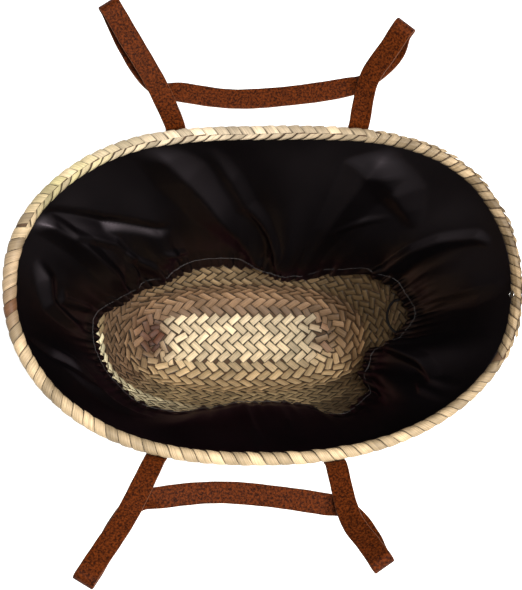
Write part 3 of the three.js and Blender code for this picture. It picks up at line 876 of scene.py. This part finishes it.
# from_spot, to_spot: the part of the outline a strip covers, counted from the outer lip.
# slant, pitch: millimetres. wide: share of the pitch. start, end: degrees round the rim.
RIM_STRIPS = [
    # name, from_spot, to_spot, slant, pitch, wide, lap, start, end, offset, ragged
    ("rim_wraps", 0, 9, 15, 12.3, 1.05, 1.0, 158, -24, 0.0, 0.02),
    ("rim_braid_back", 0, 6, 15, 11.8, 1.04, 1.0, 66, 158, 0.0, 0.03),
    ("rim_edge_back", 5, 9, -9, 11.8, 0.97, -0.6, 66, 158, 0.35, 0.03),
    ("rim_braid_right", 0, 5, 19, 9.9, 0.72, 1.6, -24, 66, 0.0, 0.1),
    ("rim_edge_right", 4, 9, -6, 9.9, 0.97, -0.7, -24, 66, 0.4, 0.04),
]
rim_leaf = leaf_material("rim_leaf", palm_leaf, 0.97, 0.0006)
rim_joined = []
for name, from_spot, to_spot, slant, pitch, wide, lap, start, end, offset, ragged in RIM_STRIPS:
    path = rim_outline()[from_spot:to_spot]
    strip = wrap_tile(name + "_strip", path, slant, pitch * wide, lap)
    spots = rim_pieces(spots_on_rim(pitch, start, end, offset), ragged)
    turns = (0.03 + ragged / 3, ragged / 2, 0.05 + ragged)
    rim_joined.append(lay_pieces(name, lay_tree, strip, spots, turns, 3, rim_leaf))
    bpy.data.objects.remove(strip)

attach(rim_core, "root")
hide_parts("rim_binding")
for piece in rim_joined:
    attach(piece, "root")

# ---------------------------------------------------------------------------
# Lining: a skirt of thin black satin sewn in under the rim. It hangs in long folds down to a
# gathered casing at its hem, and lies in the basket a little way off the wall.
# ---------------------------------------------------------------------------

LINING_THICKNESS = 1.0
LINING_WALL_GAP = 1.4
LINING_TOP_DROP = 2.8
FOLD_DEPTH = 30

# up: share of the wall height. reach: share of the way from the middle to the wall.
HEM = table(
    "around up reach",
    [
        (4, 0.443, 0.985), (24, 0.4, 0.98), (38, 0.383, 0.93), (51, 0.355, 0.8), (60, 0.337, 0.7),
        (69, 0.337, 0.655), (87, 0.346, 0.79), (107, 0.355, 0.81), (135, 0.372, 0.73),
        (156, 0.39, 0.82), (179, 0.418, 0.985), (202, 0.433, 0.985), (218, 0.48, 0.985),
        (234, 0.55, 0.985), (245, 0.532, 0.985), (255, 0.408, 0.98), (264, 0.372, 0.945),
        (281, 0.368, 0.935), (288, 0.39, 0.95), (296, 0.6, 0.985), (311, 0.48, 0.98),
        (322, 0.372, 0.86), (338, 0.372, 0.8), (349, 0.408, 0.92),
    ],
)

# around, spread, slant: degrees. depth: share of the fold depth. low: share of the drop.
FOLDS = table(
    "around spread slant depth low",
    [
        (14, 6, 4, 0.35, 0.6), (33, 7, 6, 0.55, 0.55), (57, 6, -7, 0.6, 0.7),
        (80, 9, -11, 0.9, 0.75), (104, 7, 4, 0.35, 0.6), (124, 7, 8, 0.6, 0.7),
        (146, 6, 8, 0.55, 0.6), (166, 6, 6, 0.35, 0.5), (206, 8, 8, 0.35, 0.5),
        (248, 6, 4, 0.2, 0.5), (272, 15, 0, 0.3, 0.75), (312, 6, 12, 0.45, 0.6),
        (340, 7, -6, 0.5, 0.6),
    ],
)


def hem_point(around):
    up = read_round(HEM, "up", around)
    reach = read_round(HEM, "reach", around)
    wall = inside_wall(around, up, WALL_THICKNESS + LINING_WALL_GAP)
    middle = wall_middle(up)
    spot = middle + (wall - middle) * reach[..., None]
    spot[..., 2] = wall[..., 2]
    return spot


# Sharp creases of the satin, each a line of spots: around in degrees, drop as a share of the way
# down, how far the crest stands in there and how far its slopes reach, in millimetres.
CREASES = [
    [(60.5, 0.06, 3, 10), (61, 0.14, 15, 26), (62, 0.5, 12, 20), (61.5, 0.65, 9, 14),
     (60.5, 0.97, 7, 10)],
    [(60, 0.1, 4, 12), (51.5, 0.24, 11, 20), (46, 0.32, 8, 14), (40.5, 0.42, 0, 10)],
    [(62.5, 0.54, 0, 6), (54, 0.45, 4, 7), (48, 0.4, 0, 5)],
    [(42, 1.0, 6, 9), (34, 0.84, 9, 13), (32, 0.51, 9, 13), (29.5, 0.35, 8, 12),
     (24, 0.16, 5, 10), (20, 0.1, 0, 8)],
    [(115.5, 0.04, 6, 16), (111, 0.21, 12, 26), (103, 0.48, 14, 28), (88, 0.87, 12, 22),
     (74, 0.98, 8, 16)],
    [(102.5, 0.06, 0, 8), (98, 0.25, 6, 12), (93.5, 0.44, 7, 13), (78.5, 0.7, 5, 12),
     (72, 0.9, 0, 8)],
    [(148, 0.06, -3, 8), (138.5, 0.34, -8, 12), (125, 0.52, -5, 10), (120, 0.56, 0, 8)],
    [(154, 0.02, 7, 10), (152, 0.1, 10, 14), (151.5, 0.32, 11, 16), (154, 0.56, 10, 15),
     (156, 0.87, 6, 12)],
    [(149, 0.08, 0, 6), (149.5, 0.23, 5, 9), (142, 0.47, 6, 11), (141.5, 0.62, 4, 10)],
    [(141.5, 0.6, 3, 8), (138, 0.78, 8, 13), (135.5, 0.92, 7, 12)],
    [(143, 0.64, 3, 8), (147, 0.8, 9, 14), (153, 0.95, 8, 12)],
    [(131.5, 0.66, 0, 6), (125, 0.74, 5, 8), (119, 0.8, 3, 7), (116, 0.84, 0, 6)],
    [(164.5, 0.14, 0, 8), (170, 0.24, 6, 14), (179, 0.36, 7, 15), (184, 0.6, 6, 14),
     (188, 0.88, 0, 10)],
    [(171, 0.4, 0, 6), (176, 0.47, 5, 9), (174, 0.78, 4, 8), (173, 0.9, 0, 6)],
    [(196.5, 0.06, 0, 8), (204, 0.28, -6, 12), (215, 0.46, -6, 12), (222, 0.6, 0, 8)],
    [(199, 0.3, 0, 10), (206, 0.36, 6, 22), (232, 0.6, 4, 20), (240, 0.68, 0, 12)],
    [(270.5, 0.15, 0, 5), (269, 0.35, 3.5, 7), (266, 0.93, 3, 7)],
    [(279, 0.36, 0, 4), (279.5, 0.5, 2.5, 6), (280, 0.8, 0, 6)],
    [(347.5, 0.97, 8, 12), (340, 0.7, 10, 15), (332, 0.42, 9, 13), (324.5, 0.27, 7, 10),
     (323, 0.06, 0, 8)],
    [(326, 0.44, 0, 6), (319.5, 0.27, 6, 9), (317.5, 0.05, 0, 6)],
    [(318, 0.98, 5, 9), (313, 0.7, 4, 10), (311, 0.5, 0, 8)],
    [(5, 0.05, 0, 12), (6, 0.3, 4, 24), (8, 0.7, 3, 22), (9, 0.9, 0, 14)],
]
# A crease fades out below the rim and above the hem, over shares of the drop.
CREASE_FADES = (0.1, 0.06)

# Millimetres to a degree round the basket, and from the rim to the hem.
DEGREE_WIDTH = 3.1
DROP_LENGTH = 190


def crease(around, drop, spots):
    """How far the satin stands in along one crease: most on its line, less to each side."""
    nearest = np.full(np.shape(drop), np.inf)
    push = np.zeros(np.shape(drop))
    for start, end in zip(spots[:-1], spots[1:]):
        x = turn_from(start[0], around) * DEGREE_WIDTH
        y = (drop - start[1]) * DROP_LENGTH
        run_x = turn_from(start[0], end[0]) * DEGREE_WIDTH
        run_y = (end[1] - start[1]) * DROP_LENGTH
        length = math.hypot(run_x, run_y)
        share = np.clip((x * run_x + y * run_y) / length**2, 0, 1)
        off = np.hypot(x - run_x * share, y - run_y * share)
        height = start[2] + (end[2] - start[2]) * share
        width = start[3] + (end[3] - start[3]) * share
        side = np.clip(1 - np.sqrt(off**2 + 1) / width, 0, 1)
        push = np.where(off < nearest, height * side**1.25, push)
        nearest = np.minimum(nearest, off)
    return push * smooth(drop / CREASE_FADES[0]) * smooth((1 - drop) / CREASE_FADES[1])


# Fine gathers: where they start and over how much of the drop they grow, with what strength.
GATHERS = [(0.82, 0.1, 1.0), (0.5, 0.3, 0.3)]

# Their waves: millimetres high, count round the basket, start, how unevenly they are spaced.
GATHER_WAVES = [(1.1, 83, 0, 3), (0.8, 57, 40, 0)]


def lining_point(around, drop):
    around, drop = np.broadcast_arrays(np.asarray(around, float), np.asarray(drop, float))
    top_up = 1 - LINING_TOP_DROP / WALL_HEIGHT
    top = inside_wall(around, np.full_like(around, top_up), WALL_THICKNESS + 0.4)
    hem = hem_point(around)
    middle = wall_middle(top_up + (hem[..., 2] / WALL_HEIGHT - top_up) * drop)
    spot = top + (hem - top) * drop[..., None]
    inward = middle - spot
    inward[..., 2] = 0
    inward = unit(inward)
    push = 0
    for centre, spread, slant, depth, low in zip(*FOLDS.values()):
        height = np.where(drop < low, drop / low, (1 - drop) / (1 - low))
        beside = bump(around, centre + slant * drop, spread)
        push = push + FOLD_DEPTH * depth * smooth(height) * beside
    for spots in CREASES:
        push = push + crease(around, drop, spots)
    turn = np.radians(around)
    fine = 0
    for high, count, start, uneven in GATHER_WAVES:
        fine = fine + high * (1 + np.sin(turn * count + start + uneven * np.sin(5 * turn)))
    ruffle = sum(part * smooth((drop - start) / over) for start, over, part in GATHERS)
    push = push + ruffle * fine
    return spot + inward * push[..., None]


LINING_ROUND = np.arange(0, 360, 0.6)
LINING_DROPS = np.linspace(0, 1, 76)
grid = np.array([lining_point(LINING_ROUND, drop) for drop in LINING_DROPS])
down = np.gradient(grid, axis=0)
across = np.roll(grid, -1, 1) - np.roll(grid, 1, 1)
inner_grid = grid + unit(np.cross(across, down)) * LINING_THICKNESS
lining = skinned("lining_skirt", list(grid) + list(inner_grid[::-1]), ends_joined=True)

satin, tree, shader = new_material("black_satin")
place = object_place(tree)
weft, worn = noise(tree, 900.0, place), noise(tree, 14.0, place)
rough = add_node(tree, "ShaderNodeMapRange", {"To Min": 0.32, "To Max": 0.42, "Value": worn})
black = tones_by(tree, worn, (0.05, 0.041, 0.045), (0.075, 0.062, 0.067))
feed(shader, {"Base Color": black, "Roughness": rough.outputs["Result"]})
feed(shader, {"Metallic": 1.0, "Specular Tint": (0.3, 0.27, 0.3, 1)})
raise_by(shader, weft, 0.0002, 0.15)
lining.data.materials.append(satin)

# Gathering thread that runs round the top of the casing, over the crests of its ruffles.
# Its pale grey is a painted highlight along the stitched ridge of the casing.
THREAD = 0.5
CASING_DROP = 0.9
THREAD_OVER_CRESTS = 1.9
THREAD_EASING = np.linspace(-2.5, 2.5, 11)


def thread_material(name, dark, light):
    material, tree, shader = new_material(name)
    ply = noise(tree, 1500.0, object_place(tree))
    colour = tones_by(tree, ply, paint(*dark), paint(*light))
    feed(shader, {"Base Color": colour, "Roughness": 0.5})
    return material


seam_around = np.arange(0, 360, 1.0)
seam = np.mean([lining_point(seam_around + off, CASING_DROP) for off in THREAD_EASING], axis=0)
seam_in = wall_middle(seam[:, 2] / WALL_HEIGHT) - seam
seam_in[:, 2] = 0
seam_in = unit(seam_in)
seam = seam + seam_in * (LINING_THICKNESS + THREAD_OVER_CRESTS)
thread_rings = [
    seam + THREAD / 2 * (math.cos(turn) * seam_in + math.sin(turn) * np.array([0, 0, 1]))
    for turn in np.radians(np.arange(0, 360, 60))
]
gather_thread = skinned("gather_thread", thread_rings, ends_joined=True)
gather_thread.data.materials.append(thread_material("casing_highlight_grey", (40, 38, 37), (92, 88, 86)))

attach(lining, "root")
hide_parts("lining")
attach(gather_thread, "root")

# ---------------------------------------------------------------------------
# Drawstring loop: thin black cord that comes out of the casing at the right end, hangs in a
# small loop against the wall and goes back into the casing.
# ---------------------------------------------------------------------------

CORD_DIAMETER = 3
LOOP_SIZE = 36
CORD_AROUND = 5
CORD_TWIST = 0.22
CORD_STRANDS = 3
CORD_PLUMP = (0.93, 0.07)

# Shares of the loop size from the hem of the lining: inward, along, down.
CORD_ROUTE = [
    (0.08, 0.3, 0.19), (0.26, 0.5, 0.28), (0.5, 0.46, 0.4), (0.66, 0.14, 0.52),
    (0.62, -0.22, 0.56), (0.42, -0.46, 0.5), (0.24, -0.4, 0.36), (0.12, -0.22, 0.24),
]


def smooth_route(spots, steps):
    """Centripetal curve through the spots, as points and directions."""
    spots = np.array(spots, float)
    ends = np.concatenate([[2 * spots[0] - spots[1]], spots, [2 * spots[-1] - spots[-2]]])
    shares = np.linspace(0, len(spots) - 1, steps * (len(spots) - 1) + 1)
    found = []
    for share in shares:
        i = min(int(share), len(spots) - 2)
        p0, p1, p2, p3 = ends[i : i + 4]
        steps = (p1 - p0, p2 - p1, p3 - p2)
        d0, d1, d2 = (math.sqrt(max(np.linalg.norm(step), 1e-6)) for step in steps)
        leave = ((p1 - p0) / d0 - (p2 - p0) / (d0 + d1) + (p2 - p1) / d1) * d1
        arrive = ((p2 - p1) / d1 - (p3 - p1) / (d1 + d2) + (p3 - p2) / d2) * d1
        found.append(smooth_between(share - i, p1, leave, p2, arrive))
    found = np.array(found)
    return found, unit(np.gradient(found, axis=0))


hem = hem_point(np.array(float(CORD_AROUND)))
cord_spots = [
    (hem[0] - inward * LOOP_SIZE, hem[1] + along * LOOP_SIZE, hem[2] - down * LOOP_SIZE)
    for inward, along, down in CORD_ROUTE
]
cord_path, cord_along = smooth_route(cord_spots, 16)
side = unit(np.cross(cord_along, (0, 0, 1.0)))
lift = np.cross(side, cord_along)
turns = np.radians(np.arange(0, 360, 22.5))
cord_rings = []
for i, place in enumerate(cord_path):
    twist = np.cos(CORD_STRANDS * (turns + i * CORD_TWIST) - i * 0.9)
    plump = CORD_DIAMETER / 2 * (CORD_PLUMP[0] + CORD_PLUMP[1] * twist)[:, None]
    round_cord = np.cos(turns)[:, None] * side[i] + np.sin(turns)[:, None] * lift[i]
    cord_rings.append(place + plump * round_cord)
drawstring = skinned("drawstring", cord_rings)

cord_black, tree, shader = new_material("cord_black")
given = {"Scale": 420.0, "Distortion": 1.5, "Vector": object_place(tree)}
braid = add_node(tree, "ShaderNodeTexWave", given, bands_direction="DIAGONAL").outputs["Fac"]
black = tones_by(tree, braid, paint(5, 4, 4), paint(20, 16, 15))
feed(shader, {"Base Color": black, "Roughness": 0.6, "Specular IOR Level": 0.15})
raise_by(shader, braid, 0.0003)
drawstring.data.materials.append(cord_black)

cord_length = float(np.linalg.norm(np.diff(cord_path, axis=0), axis=1).sum()) * MM
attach(drawstring, "root")
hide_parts("drawstring_loop")
[tuple(p) for p in cord_path * MM]

# ---------------------------------------------------------------------------
# Rim ring: a small steel wire ring that lies against the inside of the rim at the right end.
# The CAD ring keeps its shape and gets a brushed, slightly dulled steel.
# ---------------------------------------------------------------------------

ring_steel, tree, shader = new_material("ring_steel")
dull = noise(tree, 700.0, object_place(tree))
steel = tones_by(tree, dull, paint(120, 118, 116), paint(190, 188, 184))
feed(shader, {"Base Color": steel, "Metallic": 1.0, "Roughness": 0.3})
rim_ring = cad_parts["rim_ring"]
rim_ring.data.materials.clear()
rim_ring.data.materials.append(ring_steel)

# ---------------------------------------------------------------------------
# Handles: one flat strap of brown leather each. Both ends are sewn flat to the outside of the
# wall; the legs stand up past the rim, fold over outwards, and the bar hangs across under them.
# ---------------------------------------------------------------------------

STRAP_WIDTH = 19.5
STRAP_THICKNESS = 2.4
STRAP_SEAT_LENGTH = 84
LEG_RUN = 92
LEG_RISE = 70
FOLD_RADIUS = 5.5
LEG_BEND = 0.6
CROOK_TILT = 0.6
BAR_SAG = 0.09
CLEARANCE = 0.4


# Up the sewn end and over the rim: share of the seat length, share of the way out past the rim.
STRAP_SEAT = [(0.0, 0.0), (0.3, 0.0), (0.58, 0.1), (0.78, 0.55), (0.94, 1.1), (1.06, 1.25)]

# spread, out: shares of the leg run. up: share of the leg rise.
LEGS = {
    "back_left": [(0.165, 0.32, 0.42), (0.57, 0.935, 1.0), (0.43, 0.66, 0.5),
                  (0.17, 0.33, 0.2), (-0.09, 0.3, 0.14)],
    "back_right": [(0.07, 0.35, 0.42), (0.36, 0.705, 1.0), (0.32, 0.6, 0.52), (0.06, 0.4, 0.2),
                   (-0.19, 0.335, 0.14)],
    "front_left": [(0.22, 0.52, 0.44), (0.51, 1.02, 1.0), (0.38, 0.77, 0.5),
                   (0.15, 0.41, 0.16), (-0.11, 0.355, 0.13)],
    "front_right": [(0.105, 0.5, 0.46), (0.33, 0.835, 1.0), (0.27, 0.67, 0.5),
                    (0.07, 0.42, 0.16), (-0.155, 0.37, 0.13)],
}


def around_at_x(x, up, side):
    low, high = 0.0, 180.0
    for _ in range(30):
        trial = (low + high) / 2
        if wall_point(trial * side, up)[0] > x:
            low = trial
        else:
            high = trial
    return low * side


def leg_spots(seat_x, leg, side, hand):
    """Places down one leg, each with the direction across the strap."""
    places, acrosses = [], []
    for along_share, off_share in STRAP_SEAT:
        up = (WALL_HEIGHT - STRAP_SEAT_LENGTH * (1 - along_share)) / WALL_HEIGHT
        around = around_at_x(seat_x, min(up, 1), side)
        lip = RIM_WIDTH / 2 * float(read_round(RIM_WIDTHS, "wide", around)) - WALL_THICKNESS / 2
        climb, along, out = wall_directions(around, min(up, 1))
        off = STRAP_THICKNESS / 2 + 2 * CLEARANCE + off_share * lip
        place = wall_point(around, min(up, 1)) + out * off
        if up > 1:
            place = place + climb * (up - 1) * WALL_HEIGHT
        places.append(place)
        acrosses.append(along * hand)
    start = places[-1]
    mid, far, under, crook, bar = (
        np.array(
            [
                start[0] + hand * spread * LEG_RUN,
                start[1] + side * out * LEG_RUN,
                WALL_HEIGHT + RIM_RISE + up * LEG_RISE,
            ]
        )
        for spread, out, up in leg
    )
    outward = unit((far - mid) * (1, 1, 0))
    leg_across = np.array([outward[1], -outward[0], 0]) * -hand
    fold = far + outward * FOLD_RADIUS - (0, 0, FOLD_RADIUS)
    below = far - (0, 0, 2 * FOLD_RADIUS)
    bar_across = np.array([0, 1.0, 0])
    crook_across = unit(leg_across + bar_across)
    crook_across[2] = -side * CROOK_TILT
    crook_across = unit(crook_across)
    for place in (mid, mid + (far - mid) * LEG_BEND, far, fold, below, under):
        places.append(place)
        acrosses.append(leg_across)
    places += [crook, bar]
    acrosses += [crook_across, bar_across]
    return places, acrosses


STRAP_STEPS = 14
STRAP_EDGE = [(0.5, 0.0), (0.492, 0.26), (0.468, 0.43), (0.43, 0.5)]
STRAP_FLAT = [(w, 0.5) for w in (0.3, 0.15, 0, -0.15, -0.3)]

# The cut edges wander a little: share of the width, turn for each millimetre, start.
EDGE_WANDER = [(0.012, 0.11, 0), (0.008, 0.31, 1)]


def strap_outline():
    """Section of the strap, across and through, with rounded cut edges."""
    top = STRAP_EDGE + STRAP_FLAT + [(-w, t) for w, t in STRAP_EDGE[::-1]]
    return np.array(top + [(-w, -t) for w, t in top[1:-1]])


def strap_mesh(name, places, acrosses):
    route, along = smooth_route(places, STRAP_STEPS)
    section = strap_outline()
    rings, grain, crosses, faces_out = [], [], [], []
    run = run_along(route)
    for i in range(len(route)):
        index = min(i // STRAP_STEPS, len(places) - 2)
        f = i / STRAP_STEPS - index
        across = acrosses[index] + (acrosses[index + 1] - acrosses[index]) * f * f * (3 - 2 * f)
        across = unit(across - along[i] * across.dot(along[i]))
        face = np.cross(along[i], across)
        crosses.append(across)
        faces_out.append(face)
        wave = 1
        for part, pace, start in EDGE_WANDER:
            wave = wave + part * math.sin(run[i] * pace + start)
        wide, thick = section[:, :1] * STRAP_WIDTH, section[:, 1:] * STRAP_THICKNESS
        rings.append(route[i] + wide * wave * across + thick * face)
        far = np.full(len(section), run[i])
        grain.append(np.stack([far, section[:, 0] * STRAP_WIDTH, section[:, 1]], 1))
    strap = skinned(name, rings)
    grain = np.concatenate(grain + [[[0, 0, 0], [run[-1], 0, 0]]]) * (MM, MM, 1)
    store_vectors(strap.data, "hide", grain)
    return strap, run, route, np.array(crosses), np.array(faces_out)


def stitch_tile():
    """One stitch, one long and one thick, thinner at its ends, which dip into the leather."""
    points, faces = [], []
    for x, thick in [(-0.5, 0.15), (-0.4, 0.8), (0, 1), (0.4, 0.8), (0.5, 0.15)]:
        for turn in np.radians(np.arange(0, 360, 60)):
            y, z = thick * math.cos(turn) / 2, thick * math.sin(turn) / 2
            points.append((x, y, z - 0.6 * (2 * x) ** 4))
    for i in range(4):
        for j in range(6):
            a, b = i * 6 + j, i * 6 + (j + 1) % 6
            faces.append((a, a + 6, b + 6, b))
    faces += [tuple(range(6)), tuple(range(29, 23, -1))]
    return plain_object("stitch", mesh_from("stitch", points, faces))


def stitches_on(places, lies, outs, length, thread, tone):
    return dict(
        place=places,
        lie=lies,
        out=outs,
        size=np.tile([length, thread, thread], (len(places), 1)),
        tone=np.tile(paint(*tone), (len(places), 1)),
        chance=chances.random(len(places)),
    )


def end_stitches(run, route, crosses, faces_out):
    """Two rows of stitches down each sewn end of a strap and one across its tip."""
    edge = STRAP_WIDTH / 2 - STITCH_INSET
    down = np.arange(STITCH_INSET, STITCHED_LENGTH, STITCH_PITCH)
    tip = np.arange(-edge, edge + 0.1, 2 * edge / 3)
    found = []
    for spots in (down, run[-1] - down):
        for aside in (-edge, edge):
            found.append((spots, np.full(len(spots), aside), 0))
    for spot in (STITCH_INSET, run[-1] - STITCH_INSET):
        found.append((np.full(len(tip), spot), tip, 1))
    places, lies, outs = [], [], []
    for spots, asides, turned in found:
        middle, cross, out = (
            np.stack([np.interp(spots, run, part[:, axis]) for axis in range(3)], 1)
            for part in (route, crosses, faces_out)
        )
        cross, out = unit(cross), unit(out)
        places.append(middle + cross * asides[:, None] + out * (STRAP_THICKNESS / 2 + 0.1))
        lies.append(cross if turned else np.cross(cross, out))
        outs.append(out)
    return np.concatenate(places), np.concatenate(lies), np.concatenate(outs)


# Where the painted highlight on the cut edges of the leather begins and is full, off the middle
# of the strap, metres.
CUT_EDGE_HIGHLIGHT = (0.0093, 0.00965)


def leather_material():
    """Pebbled brown leather: raised grain, mottled dye and a pale painted highlight along the cut
    edges.
    """
    material, tree, shader = new_material("strap_leather")
    place = object_place(tree)
    grain = {"Scale": 1100.0, "Vector": place}
    pebble = add_node(tree, "ShaderNodeTexVoronoi", grain, feature="F1")
    mottle = noise(tree, 520.0, place, Detail=5.0, Roughness=0.7)
    dye = tones_by(tree, mottle, paint(38, 12, 2), paint(108, 48, 13), (0.4, 0.62))
    hide = add_node(tree, "ShaderNodeAttribute", attribute_name="hide").outputs["Vector"]
    aside = add_node(tree, "ShaderNodeSeparateXYZ", {"Vector": hide}).outputs["Y"]
    off = add_node(tree, "ShaderNodeMath", {0: aside}, operation="ABSOLUTE").outputs[0]
    limits = {"From Min": CUT_EDGE_HIGHLIGHT[0], "From Max": CUT_EDGE_HIGHLIGHT[1], "Value": off}
    edge_highlight = add_node(tree, "ShaderNodeMapRange", limits).outputs["Result"]
    # Painted highlight: the cut edges are mixed towards pale brown, as where they catch the
    # light.
    mixed = {"Factor": edge_highlight, "A": dye, "B": (*paint(128, 84, 60), 1)}
    edge = add_node(tree, "ShaderNodeMix", mixed, data_type="RGBA").outputs["Result"]
    feed(shader, {"Base Color": edge, "Roughness": 0.55, "Specular IOR Level": 0.06})
    raise_by(shader, pebble.outputs["Distance"], 0.0004, 0.7)
    return material


STITCH_LENGTH = 4.2
STITCH_PITCH = 5.6
STITCH_INSET = 2.4
STITCHED_LENGTH = 64
STITCH_THICKNESS = 0.8
STITCH_TURNS = (0.0, 0.05, 0.06)
stitch = stitch_tile()
leather = leather_material()
strap_thread = thread_material("strap_thread", (96, 62, 34), (166, 122, 78))

# CAD node, middle and distance of its two seats in millimetres, side, legs, middle of the bar.
HANDLES = [
    ("handle_back", 27.5, 173, 1, "back_left", "back_right", (-0.15, 0.255)),
    ("handle_front", 8, 160, -1, "front_left", "front_right", (-0.12, 0.315)),
]
for node, centre, spacing, side, left_leg, right_leg, (aside, out) in HANDLES:
    left_places, left_across = leg_spots(centre - spacing / 2, LEGS[left_leg], side, -1)
    right_places, right_across = leg_spots(centre + spacing / 2, LEGS[right_leg], side, 1)
    middle = left_places[-1] + (right_places[-1] - left_places[-1]) * (0.5 + aside)
    middle[2] -= BAR_SAG * LEG_RISE
    middle[1] = left_places[len(STRAP_SEAT) - 1][1] + side * out * LEG_RUN
    places = left_places + [middle] + right_places[::-1]
    acrosses = left_across + [np.array([0, 1.0, 0])] + right_across[::-1]
    strap, *course = strap_mesh(node.replace("handle", "strap"), places, acrosses)
    strap.data.materials.append(leather)
    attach(strap, "root")
    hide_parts(node)
    spots, lies, outs = end_stitches(*course)
    laid = stitches_on(spots, lies, outs, STITCH_LENGTH, STITCH_THICKNESS, (150, 110, 70))
    sewn_name = node + "_stitches"
    sewn = lay_pieces(sewn_name, lay_tree, stitch, laid, STITCH_TURNS, 9, strap_thread)
    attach(sewn, "root")
bpy.data.objects.remove(stitch)
